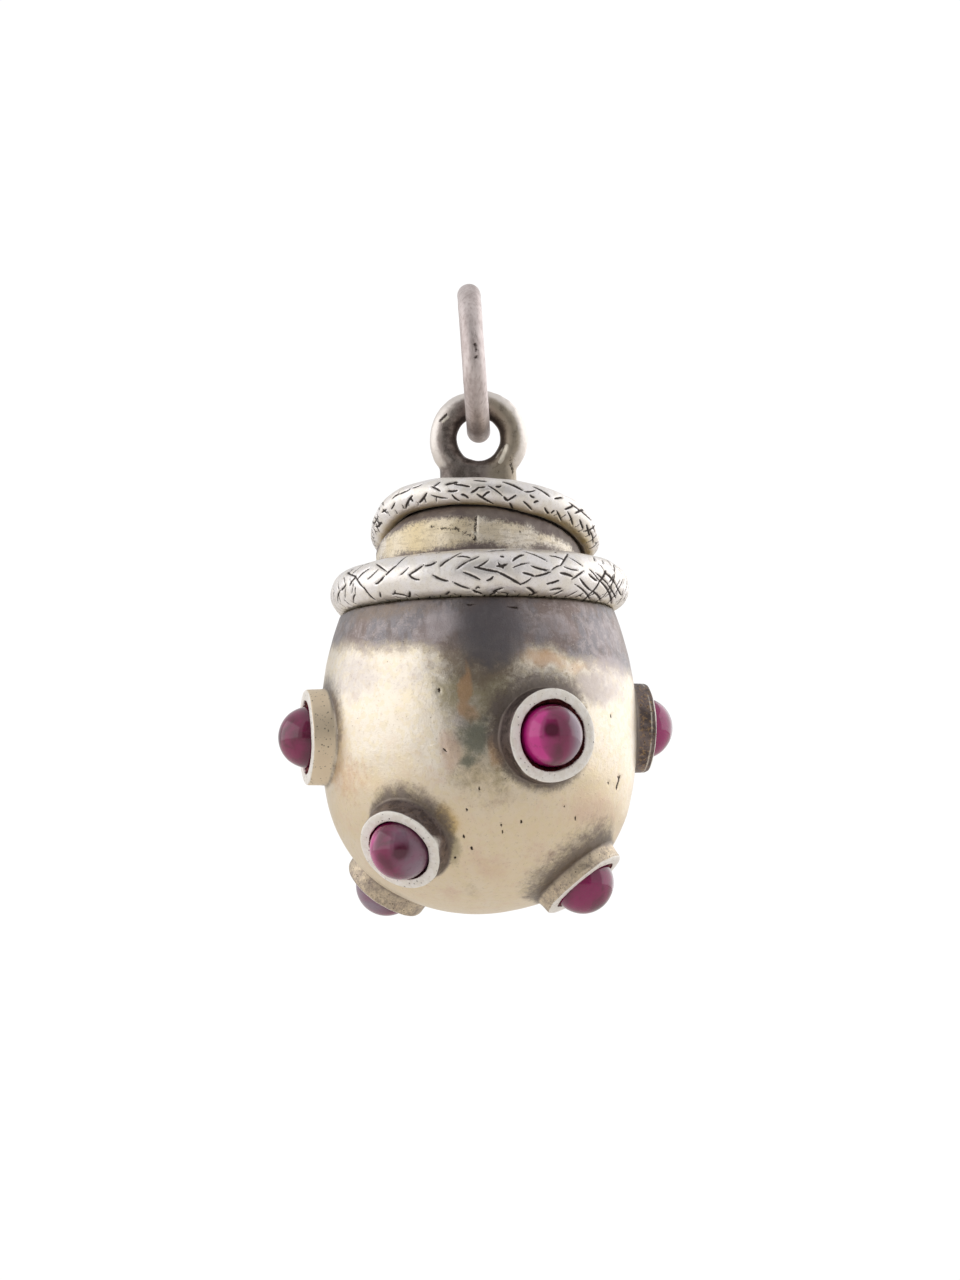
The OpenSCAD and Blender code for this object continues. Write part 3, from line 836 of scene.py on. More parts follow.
def snake_metal(looks):
    paint = Paint("snake_silver")
    near, seat, sheen = paint.kept("near"), paint.kept("seat"), paint.kept("gilt")
    cloud, fine, speck = paint.noise(0.8, 4, 0.62), paint.noise(0.22, 4, 0.65), paint.noise(0.08, 2)
    colour = paint.mix(cloud.clear(0.42, 0.6), tuple(looks.silver), tuple(looks.cream))
    colour = paint.mix(fine.clear(0.52, 0.7) * 0.22, colour, (0.52, 0.46, 0.45))
    colour = paint.mix((sheen * (0.35 + cloud * 1.1)).held(), colour, tuple(looks.gilt))
    smudge = (near * 0.8 + (cloud - 0.5) * 1.3 + (fine - 0.5) * 0.6).clear(0.2, 0.9)
    colour = paint.mix(smudge * 0.42, colour, (0.36, 0.305, 0.30))
    colour = paint.mix(speck.clear(0.56, 0.72) * 0.3, colour, (0.40, 0.33, 0.31))
    dirt = (near + (fine - 0.5) * 0.35 + (speck - 0.5) * 0.25).clear(0.5, 0.72)
    colour = paint.mix(dirt * 0.96, colour, tuple(looks.cuts))
    # painted shade on the underside, where the body lies on the neck
    under = (seat + (fine - 0.5) * 0.5 * seat).clear(0.3, 0.8)
    colour = paint.mix(under * 0.9, colour, (0.10, 0.07, 0.045))
    rough = 0.33 + cloud * 0.12 + dirt * 0.25
    relief = cloud * 0.9 + fine * 0.5 + speck * 0.15
    return paint.finish(Base_Color=colour, Metallic=0.78, Roughness=rough, Normal=paint.bump(relief, 0.03))


# What each kind of stain turns the gilding into, and how fully; the dusky kind is painted shade, not a stain
STAIN_COLOURS = {
    "dusky_shade": ((0.37, 0.305, 0.215), 0.7),
    "golden": ((0.66, 0.46, 0.17), 0.7),
    "haze": ((0.50, 0.44, 0.45), 0.6),
    "pink": ((0.70, 0.50, 0.40), 0.55),
    "olive": ((0.36, 0.31, 0.19), 0.7),
    "brown": ((0.24, 0.185, 0.14), 0.8),
    "slate": ((0.155, 0.143, 0.155), 0.86),
    "orange": ((0.60, 0.36, 0.20), 0.7),
    "blot": ((0.19, 0.20, 0.16), 0.85),
}


def egg_metal(looks, name="egg_gilt", bezels=False):
    paint = Paint(name)
    cloud, blotch = paint.noise(3.0, 4, 0.6), paint.noise(0.8, 5, 0.68, 0.4)
    fine, speck = paint.noise(0.24, 4, 0.7), paint.noise(0.08, 2)
    cells, drips = paint.noise(0.42, 1.5, 0.5), paint.stretched(0.5, (1, 1, 0.22), Roughness=0.6)
    grit = (blotch - 0.5) * 0.9 + (fine - 0.5) * 0.45 + (speck - 0.5) * 0.25
    warm, band, halo_tarnish_and_shade = paint.kept("warm"), paint.kept("band"), paint.kept("halo_tarnish_and_shade")

    def broken(amount, low, high):
        """Where an amount that fades out evenly has passed its middle, with a speckled edge."""
        return (amount + grit * amount.clear(0, 0.3)).clear(low, high)

    colour = paint.mix((warm * 0.8 + (cloud - 0.5) * 1.4).held(), tuple(looks.pale), tuple(looks.gold))
    colour = paint.mix(cells.clear(0.5, 0.58) * 0.34, colour, tuple(looks.honey))
    colour = paint.mix(blotch.clear(0.5, 0.7) * (0.25 + warm * 0.25), colour, tuple(looks.peach))
    colour = paint.mix(fine.clear(0.56, 0.72) * 0.32, colour, (0.50, 0.40, 0.27))
    dusk = paint.mix(cloud.clear(0.42, 0.58), tuple(looks.violet), tuple(looks.blue))
    dusk = paint.mix(blotch.clear(0.45, 0.62) * 0.6, dusk, (0.40, 0.35, 0.355))
    dusk = paint.mix(drips.clear(0.5, 0.66) * 0.6, dusk, (0.13, 0.10, 0.095))
    dusk = paint.mix(fine.clear(0.55, 0.68) * 0.45, dusk, (0.52, 0.46, 0.44))
    dusk = paint.mix(speck.clear(0.55, 0.7) * 0.35, dusk, (0.09, 0.07, 0.065))
    umber = broken(band, 0.02, 0.6)
    colour = paint.mix(umber * 0.45, colour, (0.34, 0.255, 0.165))
    colour = paint.mix(broken(band, 0.22, 0.92) * 0.9, colour, dusk)
    # stains, and for the dusky kind painted shade
    for kind, (tint, share) in STAIN_COLOURS.items():
        colour = paint.mix(broken(paint.kept(kind), 0.06, 0.9) * share, colour, tint)
    colour = paint.mix(speck.clear(0.6, 0.75) * fine.clear(0.45, 0.6) * 0.45, colour, (0.20, 0.15, 0.11))
    # the halos round the bezels: tarnish, and painted shade in the creases at their feet
    halo_shaded = broken(halo_tarnish_and_shade, 0.05, 0.8)
    halo_tint = paint.mix(blotch.clear(0.4, 0.6), tuple(looks.halo_tarnish_and_shade), (0.17, 0.14, 0.13))
    colour = paint.mix(halo_shaded * 0.88, colour, halo_tint)
    colour = paint.mix((paint.kept("shade") * 1.15).held(), colour, (0.035, 0.028, 0.022))
    marks = (paint.kept("marks") + (speck - 0.5) * 0.5).clear(0.4, 0.7)
    wide_pits, close_pits = paint.pits(0.7, 0.06), paint.pits(0.33, 0.1)
    pits = (wide_pits * cloud.clear(0.4, 0.6) + close_pits * blotch.clear(0.55, 0.7)).held()
    colour = paint.mix((pits * 0.42 + marks).held(), colour, (0.045, 0.032, 0.025))
    rough = 0.24 + blotch * 0.1 + fine * 0.08 + band * 0.08 + halo_shaded * 0.12
    relief = blotch * 0.6 + fine * 0.6 + speck * 0.15 - pits * 1.2 - marks * 2.0
    metal = 0.88
    if bezels:
        rim, lip, wall = paint.kept("rim"), paint.kept("lip"), paint.kept("wall")
        silver = paint.mix(cells.clear(0.45, 0.6), (0.95, 0.91, 0.86), (0.89, 0.84, 0.77))
        silver = paint.mix(fine.clear(0.52, 0.7) * 0.25, silver, (0.62, 0.56, 0.50))
        # The cups' outer walls are dark: tarnish, and painted shade on the walls
        wall_tarnish_and_shade = paint.mix(blotch.clear(0.42, 0.6), (0.21, 0.165, 0.155), (0.11, 0.085, 0.08))
        wall_tarnish_and_shade = paint.mix(paint.kept("rust") * fine.clear(0.5, 0.62), wall_tarnish_and_shade, (0.52, 0.33, 0.15))
        walls = paint.mix((paint.kept("pale") + grit * 0.8).clear(0.25, 0.75), wall_tarnish_and_shade, (0.80, 0.67, 0.50))
        walls = paint.mix((paint.kept("crest") + grit * 0.25).clear(0.35, 0.6), walls, (0.93, 0.85, 0.74))
        walls = paint.mix(paint.pits(0.22, 0.3) * fine.clear(0.42, 0.6) * 0.8, walls, (0.03, 0.022, 0.016))
        colour = paint.mix(wall, colour, walls)
        bare = (rim + grit * 0.35).clear(0.35, 0.65)
        colour = paint.mix(bare, colour, silver)
        spots = paint.pits(0.3, 0.24) * fine.clear(0.42, 0.58) * bare
        colour = paint.mix(spots * 0.75, colour, (0.14, 0.11, 0.09))
        # The inside of the lip, in the gap round the stone, is painted dark red as shade
        inside = (lip + ((fine - 0.5) * 0.9 + (speck - 0.5) * 0.5) * lip.clear(0, 0.1)).clear(0.4, 0.65)
        deep = paint.mix(fine.clear(0.4, 0.6), (0.26, 0.055, 0.05), (0.09, 0.022, 0.022))
        colour = paint.mix(inside, colour, deep)
        rough = rough + bare * 0.1 + inside * 0.15
        metal = 0.88 - bare * 0.62 * (1 - inside)
        relief = relief - spots * 1.0 + bare * fine * 0.8
    return paint.finish(Base_Color=colour, Metallic=metal, Roughness=rough, Normal=paint.bump(relief, 0.03))


def stone_glass(looks):
    paint = Paint("stone_garnet")
    apex, glow, rim = paint.kept("apex"), paint.kept("glow"), paint.kept("edge")
    veil, thread = paint.noise(1.3, 2, 0.5, 0.8), paint.noise(0.45, 3, 0.6)
    colour = paint.mix(veil.clear(0.35, 0.65), tuple(looks.pink), tuple(looks.deep))
    colour = paint.mix((glow * (0.7 + veil * 0.6)).held(), colour, tuple(looks.glow))
    # painted glare: a greyish veil of reflected light on the side that faces the light
    milky = paint.kept("milky") * (0.35 + veil * 0.9)
    colour = paint.mix(milky.held(), colour, tuple(looks.milk))
    colour = paint.mix(thread.clear(0.55, 0.75) * 0.3, colour, (0.09, 0.004, 0.03))
    # painted shade: the stone darkens towards its rim, less on its glowing side
    colour = paint.mix(rim * 0.5, colour, (0.12, 0.005, 0.04))
    # painted reflection: the dark spot where the stone mirrors the dark front, with a softer ring round it
    colour = paint.mix(apex.clear(0.05, 0.85) * 0.92, colour, tuple(looks.dark_reflection_tint))
    return paint.finish(
        Base_Color=colour, Roughness=0.07 + thread * 0.05, IOR=looks.ior, Coat_Weight=0.15,
        Coat_Roughness=0.03, Normal=paint.bump(veil, 0.01))


def plain(name, colour, rough):
    """A surface of the studio, with a faint unevenness."""
    paint = Paint(name)
    cloud = paint.noise(180, 2)
    shade = paint.mix(cloud.clear(0.3, 0.7), colour, tuple(c * 0.985 for c in colour))
    return paint.finish(Base_Color=shade, Roughness=rough)


# What a user can change


def colour_of(name, words, value):
    return bpy.props.FloatVectorProperty(
        name=name, description=words, default=value, subtype="COLOR", size=3, min=0, max=1)


class RingLooks(bpy.types.PropertyGroup):
    sides: bpy.props.IntProperty(name="Sides", description="Faces round the wire", default=64, min=12, max=96)
    silver: colour_of("Silver", "Colour of the bare wire", (0.68, 0.60, 0.585))
    dull: colour_of("Dull silver", "Colour where the wire has dulled", (0.56, 0.48, 0.465))


class NeckLooks(bpy.types.PropertyGroup):
    grain: bpy.props.FloatProperty(
        name="Grain", description="Size of the mesh that melts the eyelet into the neck, in mm",
        default=0.11, min=0.08, max=0.3)
    gold: colour_of("Gold", "Colour of the band between the turns", (0.82, 0.72, 0.56))
    pale: colour_of("Pale gold", "Lighter places of the band", (0.90, 0.82, 0.71))
    yellow: colour_of("Yellow gold", "Colour left of the band's seam", (0.72, 0.58, 0.33))
    tarnish: colour_of("Tarnish", "Colour of the eyelet", (0.37, 0.315, 0.29))
    worn: colour_of("Worn metal", "Lighter places of the eyelet", (0.52, 0.46, 0.42))


class SnakeLooks(bpy.types.PropertyGroup):
    depth: bpy.props.FloatProperty(
        name="Cut depth", description="Depth of the engraved strokes, in mm", default=0.07, min=0, max=0.15)
    width: bpy.props.FloatProperty(
        name="Cut width", description="Width of the strokes, as a share of their usual width", default=1.0,
        min=0.5, max=2)
    silver: colour_of("Silver", "Colour of the snake", (0.94, 0.90, 0.885))
    cream: colour_of("Cream", "Warmer places of the snake", (0.90, 0.85, 0.79))
    gilt: colour_of("Gilt", "Gold left along the snake's lower edges", (0.62, 0.47, 0.18))
    cuts: colour_of("Cuts", "Dirt in the engraved strokes", (0.045, 0.034, 0.030))


class EggLooks(bpy.types.PropertyGroup):
    mesh_step: bpy.props.FloatProperty(
        name="Mesh step", description="Size of the egg's faces, in mm", default=0.14, min=0.1, max=1)
    gold: colour_of("Gold", "Colour of the gilding", (0.80, 0.66, 0.47))
    pale: colour_of("Pale gold", "Where the gilding is thin", (0.82, 0.745, 0.64))
    peach: colour_of("Peach", "Where the gilding is warm", (0.78, 0.60, 0.45))
    honey: colour_of("Honey", "Yellow cells in the gilding", (0.78, 0.66, 0.42))
    violet: colour_of("Violet", "Tarnish under the snake", (0.21, 0.16, 0.155))
    blue: colour_of("Blue grey", "Second colour of that tarnish", (0.20, 0.19, 0.215))
    # Colour of the halos round the bezels: tarnish, and painted shade in the creases at their feet
    halo_tarnish_and_shade: colour_of("Bezel halo", "Burnt metal round the bezels", (0.11, 0.085, 0.075))


class StoneLooks(bpy.types.PropertyGroup):
    ior: bpy.props.FloatProperty(name="IOR", description="How strongly the stone bends light", default=1.6)
    pink: colour_of("Pink", "Lighter colour of the stone", (0.22, 0.008, 0.075))
    deep: colour_of("Deep pink", "Darker colour of the stone", (0.13, 0.006, 0.04))
    glow: colour_of("Glow", "Where light gathers inside the stone", (0.60, 0.02, 0.26))
    # painted glare, reflected light on the side of a stone that faces the light
    milk: colour_of("Painted glare", "Greyish veil on the side that faces the light", (0.27, 0.20, 0.26))
    # painted reflection of the dark front, in the middle of the stone
    dark_reflection_tint: colour_of("Dark reflection", "The dark spot in the middle of the stone", (0.075, 0.0, 0.02))


class StageLooks(bpy.types.PropertyGroup):
    azimuth: bpy.props.FloatProperty(
        name="Azimuth", description="Where the camera stands round the pendant", default=PHOTO_AZIMUTH,
        subtype="ANGLE")
    elevation: bpy.props.FloatProperty(
        name="Elevation", description="Height of the camera over the pendant's level",
        default=PHOTO_ELEVATION, subtype="ANGLE")
    distance: bpy.props.FloatProperty(
        name="Distance", description="From the camera to the pendant", default=PHOTO_DISTANCE * MM,
        subtype="DISTANCE", unit="LENGTH")
    pixels_per_mm: bpy.props.FloatProperty(
        name="Scale", description="Pixels to a millimetre in a picture 1280 pixels high", default=PHOTO_SCALE)
    floor_drop: bpy.props.FloatProperty(
        name="Floor", description="How far the floor lies under the ring", default=0.14, unit="LENGTH")
    floor: colour_of("Floor colour", "Colour of the floor", (0.86, 0.83, 0.79))
    tent: bpy.props.FloatProperty(name="Tent", description="Brightness of the white surround", default=0.74)
    left: bpy.props.FloatProperty(
        name="Left wall", description="Brightness of the light on the left", default=0.73)
    right: bpy.props.FloatProperty(
        name="Right wall", description="Brightness of the light on the right", default=0.84)
    card: bpy.props.FloatProperty(name="Card", description="Shade of the dark card in front", default=0.3)


LOOKS = {
    "ring": RingLooks, "neck": NeckLooks, "snake": SnakeLooks, "egg": EggLooks, "stone": StoneLooks,
    "stage": StageLooks,
}


def looks_of(name):
    return getattr(bpy.context.scene, "pendant_" + name)


# Pieces


class PENDANT_OT_jump_ring(bpy.types.Operator):
    """Makes the closed jump ring from round wire"""

    bl_idname = "pendant.jump_ring"
    bl_label = "Jump ring"

    def execute(self, context):
        looks = looks_of("ring")
        turn = np.linspace(0, 2 * math.pi, RING_STEPS, endpoint=False)[:, None]
        side = np.linspace(0, 2 * math.pi, looks.sides, endpoint=False)[None, :]
        wire = RING_WIRE / 2
        middle = (RING_INNER + RING_WIRE) / 2
        reach = middle + wire * np.cos(side)
        points = np.stack(np.broadcast_arrays(
            wire * np.sin(side), reach * np.sin(turn), reach * np.cos(turn) - RING_INNER / 2), axis=-1)
        inward = np.stack(np.broadcast_arrays(
            np.sin(side), np.cos(side) * np.sin(turn), np.cos(side) * np.cos(turn)), axis=-1)
        points = points - inward * (0.012 + 0.01 * waves(points, 1.6, 21))[..., None]
        lean = np.array([
            [math.cos(RING_LEAN), 0, -math.sin(RING_LEAN)], [0, 1, 0],
            [math.sin(RING_LEAN), 0, math.cos(RING_LEAN)]])
        points = points @ lean.T
        piece = surface("ring_wire", np.concatenate([points, points[:1]]), outward=False)
        flat = np.concatenate([points, points[:1]]).reshape(-1, 3)
        marks = np.zeros(len(flat))
        for start, end, wide, strength in RING_MARKS:
            marks = np.maximum(marks, strength * near_line(flat, start, end, 2.2 * wide))
        paint_values(piece, marks=marks)
        dress(piece, RING_BODY, ring_metal(looks), "ring_silver", "jump_ring")
        return {"FINISHED"}


class PENDANT_OT_neck(bpy.types.Operator):
    """Melts the eyelet, its web and the neck into one soldered form with soft corners"""

    bl_idname = "pendant.neck"
    bl_label = "Neck and eyelet"

    def execute(self, context):
        looks = looks_of("neck")
        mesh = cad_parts["neck"].data.copy()
        mesh.name = "neck_and_eyelet"
        piece = bpy.data.objects.new("neck_and_eyelet", mesh)
        context.scene.collection.objects.link(piece)
        mesh.transform(((1 / MM, 0, 0, 0), (0, 1 / MM, 0, 0), (0, 0, 1 / MM, 0), (0, 0, 0, 1)))
        remesh = piece.modifiers.new("melt", "REMESH")
        remesh.mode, remesh.voxel_size, remesh.use_smooth_shade = "VOXEL", looks.grain, True
        soften = piece.modifiers.new("soften", "SMOOTH")
        soften.factor, soften.iterations = 0.5, 5
        shown = piece.evaluated_get(context.evaluated_depsgraph_get())
        melted = bpy.data.meshes.new_from_object(shown)
        piece.modifiers.clear()
        points = np.empty(len(melted.vertices) * 3)
        melted.vertices.foreach_get("co", points)
        points = points.reshape(-1, 3)
        normals = np.empty(len(points) * 3)
        melted.vertex_normals.foreach_get("vector", normals)
        normals = normals.reshape(-1, 3)
        x, z = points[:, 0] - AXIS_X, points[:, 2]
        front = points[:, 1] < BAND_FRONT_Y
        seam = front * smooth((x + 0.1) / 0.1) * smooth((-13.2 - z) / 0.3) * smooth((2.4 - x) / 1.5)
        uneven = 0.02 * waves(points, 2.4, 31) + 0.012 * waves(points, 0.9, 32)
        points = points + normals * (uneven - 0.02 + 0.03 * seam)[:, None]
        loop = smooth((z - WEB_Z) / 0.7)
        gap = np.maximum(gap_to_snake(points), 0)
        below = z > snake_path(np.degrees(np.arctan2(x, -points[:, 1])))[:, 2] + SNAKE_R - 0.1
        recess = np.clip(0.5 + (0.78 + 0.1 * waves(points, 1.6, 34) - gap) / 1.2, 0, 1) * below * (1 - loop)
        far_left = smooth((-x - 2.6) / 1.4) * smooth((5.2 + x) / 1.5)
        yellow = front * smooth((-x - 0.05) / 0.2) * (0.45 + 0.55 * far_left)
        out = np.hypot(x - NECK_MIDDLE[0], z - NECK_MIDDLE[1])
        hoop = loop * smooth((z - HOOP_Z) / 0.8)
        web = loop * (1 - hoop / np.maximum(loop, 0.01))
        edge = hoop * smooth((out - 2.3) / 0.6) + web * smooth((np.abs(x) - 2.2) / 0.3) * 0.4
        left = smooth((0.5 - x) / 1.5) * smooth((2.6 - out) / 0.5) * 0.7
        inner = loop * np.maximum(smooth((2.15 - out) / 0.7), left)
        inner = np.maximum(inner, loop * smooth((-9.3 - z) / 0.9) * smooth((1.0 - x) / 1.4) * 0.75)
        tan = loop * smooth((x - 0.2) / 0.9)
        flat = np.stack([x, z], axis=-1)
        marks, ridge = np.zeros(len(points)), np.zeros(len(points))
        for table, values in ((NECK_MARKS, marks), (NECK_RIDGES, ridge)):
            for x1, z1, x2, z2, wide, strength in table:
                facing = points[:, 1] < (BAND_FRONT_Y if z1 < BAND_TOP_Z else 0)
                line = near_line(flat, (x1, z1), (x2, z2), 2.4 * wide)
                values[:] = np.maximum(values, facing * strength * line)
        # painted shade, darkest where the snake touches the neck
        contact = np.exp(-gap / 0.1) * (1 - loop)
        melted.vertices.foreach_set("co", (points * MM).reshape(-1))
        melted.update()
        piece.data = melted
        melted.shade_smooth()
        melted.materials.clear()
        paint_values(
            piece, loop=loop, recess=recess, yellow=yellow, edge=edge, inner=inner, tan=tan, marks=marks,
            ridge=ridge, contact=contact)
        dress(piece, EGG_BODY, neck_metal(looks), "neck_gilt", "neck")
        return {"FINISHED"}


class PENDANT_OT_snake(bpy.types.Operator):
    """Winds the snake round the neck and cuts its scales in short engraved strokes"""

    bl_idname = "pendant.snake"
    bl_label = "Snake"

    def execute(self, context):
        looks = looks_of("snake")
        rings = self.rings()
        # close faces where the snake shows, wide ones where it lies on the neck
        turn = np.concatenate([
            np.linspace(-118, -75, 8, endpoint=False), np.linspace(-75, 110, 60, endpoint=False),
            np.linspace(110, 150, 8, endpoint=False), np.linspace(150, 242, 8, endpoint=False)])
        points = self.skin(rings[:, None], turn[None, :])
        near = self.engrave(points, rings, looks.width)
        normal = unit(points - snake_path(rings)[:, None])
        swell = 0.02 * waves(points, 1.9, 41) - 0.02
        cut = smooth((near - 0.35) / 0.5)
        points = points + normal * (swell - looks.depth * cut)[..., None]
        piece = surface("snake_skin", points, outward=self.turns_out(points, normal))
        wide = np.broadcast_to(rings[:, None], near.shape)
        down = np.broadcast_to(np.exp(-((turn + 80) / 20.0) ** 2), near.shape)
        right = smooth((wide - 372) / 30) * smooth((458 - wide) / 25)
        gilt = np.clip(down * 0.8 + 0.25 * right * np.exp(-((turn + 52) / 24.0) ** 2)[None, :], 0, 1)
        # painted shade along the places round the body where it lies on the neck
        seat = np.maximum(np.exp(-((turn + 104) / 11.0) ** 2), np.exp(-((turn - 160) / 24.0) ** 2))
        paint_values(piece, near=near, gilt=gilt, seat=np.broadcast_to(seat, near.shape))
        dress(piece, EGG_BODY, snake_metal(looks), "snake_silver", "snake_coil")
        return {"FINISHED"}

    def rings(self):
        """Angles of the skin's rings, set closer where the front shows them."""
        fine = np.arange(SNAKE[0][0], SNAKE[-1][0] + 0.01, 0.05)
        step = np.linalg.norm(np.diff(snake_path(fine), axis=0), axis=1)
        middle = (fine[1:] + 180) % 360 - 180
        step = step * np.where(np.abs(middle) < 92, 1.9, 1.0)
        length = np.concatenate([[0], np.cumsum(step)])
        return np.interp(np.linspace(0, length[-1], SNAKE_RINGS), length, fine)

    def skin(self, a, turn):
        """Points of the smooth skin at angles along the snake and places round its body, in degrees."""
        a, turn = np.broadcast_arrays(a, turn)
        out, up = snake_sides(a)
        t = np.radians(turn)[..., None]
        return snake_path(a) + (out * np.cos(t) + up * np.sin(t)) * snake_radius(a)[..., None]

    def turns_out(self, points, normal):
        """True if faces made in the order of the rows look outwards."""
        edge = np.cross(points[1, 0] - points[0, 0], points[0, 1] - points[0, 0])
        return float(edge @ normal[0, 0]) > 0

    def engrave(self, points, rings, width):
        """1 in the middle of an engraved stroke, falling to 0 at its reach."""
        rng = np.random.default_rng(7)
        near = np.zeros(points.shape[:2])
        for stroke in charted_strokes():
            self.cut(near, points, rings, stroke, width * rng.uniform(0.6, 1.0), rng.uniform(-4, 4))
        for start, end, row, slant, long, spacing in HATCH:
            place, thin = start, min(1.0, 0.35 + 0.5 * long)
            while place < end:
                radius = float(snake_radius(np.array(place)))
                lean = math.radians(slant + rng.normal() * 8)
                half = long / 2 * rng.uniform(0.75, 1.2)
                forward = math.degrees(half * math.cos(lean) / (TURN_R + radius))
                upward = math.degrees(half * math.sin(lean) / radius)
                middle = row + rng.normal() * 4
                stroke = (place - forward, middle - upward, place + forward, middle + upward)
                thick = width * thin * rng.uniform(0.55, 1.0)
                self.cut(near, points, rings, stroke, thick, rng.uniform(-5, 5))
                place += math.degrees(spacing * rng.uniform(0.75, 1.25) / (TURN_R + radius))
        return near

    def cut(self, near, points, rings, stroke, thick, bow):
        """Draws one slightly bent stroke with sharp ends."""
        a1, t1, a2, t2 = stroke
        low, high = max(min(a1, a2), SNAKE[0][0]), min(max(a1, a2), SNAKE[-1][0])
        found = np.nonzero((rings > low - 4) & (rings < high + 4))[0]
        if not len(found):
            return
        share = np.linspace(0, 1, 9)
        line = self.skin(
            np.clip(a1 + (a2 - a1) * share, SNAKE[0][0], SNAKE[-1][0]),
            t1 + (t2 - t1) * share + bow * 4 * share * (1 - share))
        part = points[found]
        for i in range(8):
            sharp = min(1.0, 0.45 + 2.4 * min(share[i] + 0.06, 1.06 - share[i + 1]))
            close = near_line(part, line[i], line[i + 1], STROKE_REACH * thick * sharp)
            near[found] = np.maximum(near[found], close)


class PENDANT_OT_egg(bpy.types.Operator):
    """Raises the hollow egg and solders its eight bezel cups on"""

    bl_idname = "pendant.egg"
    bl_label = "Egg and bezels"

    def execute(self, context):
        looks = looks_of("egg")
        self.raise_egg(looks)
        self.solder_bezels(looks)
        return {"FINISHED"}

    def outline(self, step):
        """Points of the egg's outline and its normals, from under the snake to the bottom."""
        top = math.asin((SHELL_TOP_Z - BELLY_Z) / SIDE_ARC)
        arcs = (top, LOW, SIDE_ARC), (LOW, FOOT, CORNER_ARC), (FOOT, -math.pi / 2, BOTTOM_ARC)
        facing = []
        for start, end, r in arcs:
            facing.extend(np.linspace(start, end, max(int((start - end) * r / step), 2), endpoint=False))
        facing = np.array([*facing, -math.pi / 2 + 0.002])
        spots = [arc_of(f) for f in facing]
        ways = np.stack([np.cos(facing), np.sin(facing)], axis=-1)
        return np.array([centre + r * way for way, (centre, r) in zip(ways, spots)]), ways

    def raise_egg(self, looks):
        profile, facing = self.outline(looks.mesh_step)
        a = np.linspace(0, 360, int(2 * math.pi * EGG_R / looks.mesh_step), endpoint=False)
        points = around(profile[:, 0:1], a[None, :], profile[:, 1:2])
        normals = around(facing[:, 0:1], a[None, :], facing[:, 1:2]) - AXIS
        points = points + normals * hand_raised(points)[..., None]
        points = self.bedded(points, a)
        values = egg_values(points.reshape(-1, 3))
        outward = unit(points - np.array([AXIS_X, 0, EGG_MIDDLE_Z]))
        dents = 0.07 * smooth((values["marks"] - 0.35) / 0.5).reshape(points.shape[:2])
        points = points - outward * dents[..., None]
        piece = surface("egg_body", points)
        paint_values(piece, **values)
        dress(piece, EGG_BODY, egg_metal(looks), "egg_gilt", "egg_shell")

    def bedded(self, points, a):
        """Adds rows that run in under the snake from the egg's top edge."""
        floor = lower_turn_z(a)
        r = np.hypot(points[..., 0] - AXIS_X, points[..., 1])
        gap = np.hypot(r - TURN_R, points[..., 2] - floor)
        clear = SNAKE_R + BED_GAP
        inside = (gap < clear) | (points[..., 2] > floor)
        under = np.minimum(r, BED_EDGE_R)
        bed = around(under, a[None, :], 0.0)
        bed[..., 2] = floor - np.sqrt(np.maximum(clear**2 - (under - TURN_R) ** 2, 0))
        points = np.where(inside[..., None], bed, points)
        ledge = [around(np.full(len(a), rr), a, floor - np.sqrt(max(clear**2 - (rr - TURN_R) ** 2, 0.02)))
                 for rr in (SHELL_INNER_R, 7.3, TURN_R)]
        return np.concatenate([np.array(ledge), points])

    def solder_bezels(self, looks):
        """Each cup is turned from its outline, and its foot melts into the egg."""
        turn = np.linspace(0, 2 * math.pi, CUP_SIDES, endpoint=False)
        all_points, all_faces, values = [], [], []
        table = np.array(BEZEL)
        for number, place in enumerate(STONES):
            spot, across, up, out = stone_frame(place)
            ring = across * np.cos(turn)[:, None] + up * np.sin(turn)[:, None]
            usual, share, extra = table[:, 0:1], table[:, 1:2], table[:, 2:3]
            radius = usual + (place[3] - 3.0) * np.clip((usual - 2.0) / 0.3, 0, 1)
            slow, quick = waves(ring * 2.6 + number * 9, 2.6, 51), waves(ring * 2.6 + number * 7, 1.2, 52)
            wobble = 0.5 * slow + 0.3 * quick
            lip = smooth((usual - 2.05) / 0.2) * smooth((3.3 - usual) / 0.3)
            reach = radius + 0.035 * wobble * lip
            plane = share * place[2] + extra + 0.03 * np.roll(wobble, 40) * lip
            base = spot + reach[..., None] * ring[None]
            ground = self.ground(base, out)
            foot = smooth((usual - 2.98) / 0.04)
            melted = self.melt(plane, ground, CUP_MELT)
            melted = np.where(usual > 3.85, ground - 0.02, melted)
            height = plane * (1 - foot) + melted * foot
            points = base + height[..., None] * out
            rows, count = points.shape[:2]
            index = np.arange(rows * count).reshape(rows, count)
            following = np.roll(index, -1, axis=1)
            quads = np.stack([index[:-1], following[:-1], following[1:], index[1:]], axis=-1)
            all_faces.append(quads.reshape(-1, 4) + number * rows * count)
            flat = points.reshape(-1, 3)
            all_points.append(flat)
            white_to, pale, rust, bright = BEZEL_LOOKS[number]
            crest = np.clip(0.5 + (plane - place[2] + bright + 0.05 * wobble) / 0.12, 0, 1) * foot
            over = height - ground
            face = np.clip(0.5 + (white_to + 0.02 * wobble - usual) / 0.08, 0, 1)
            rim = face * smooth((usual - 2.2) / 0.06)
            side = smooth((over - 0.05) / 0.12) * (usual > 2.4)
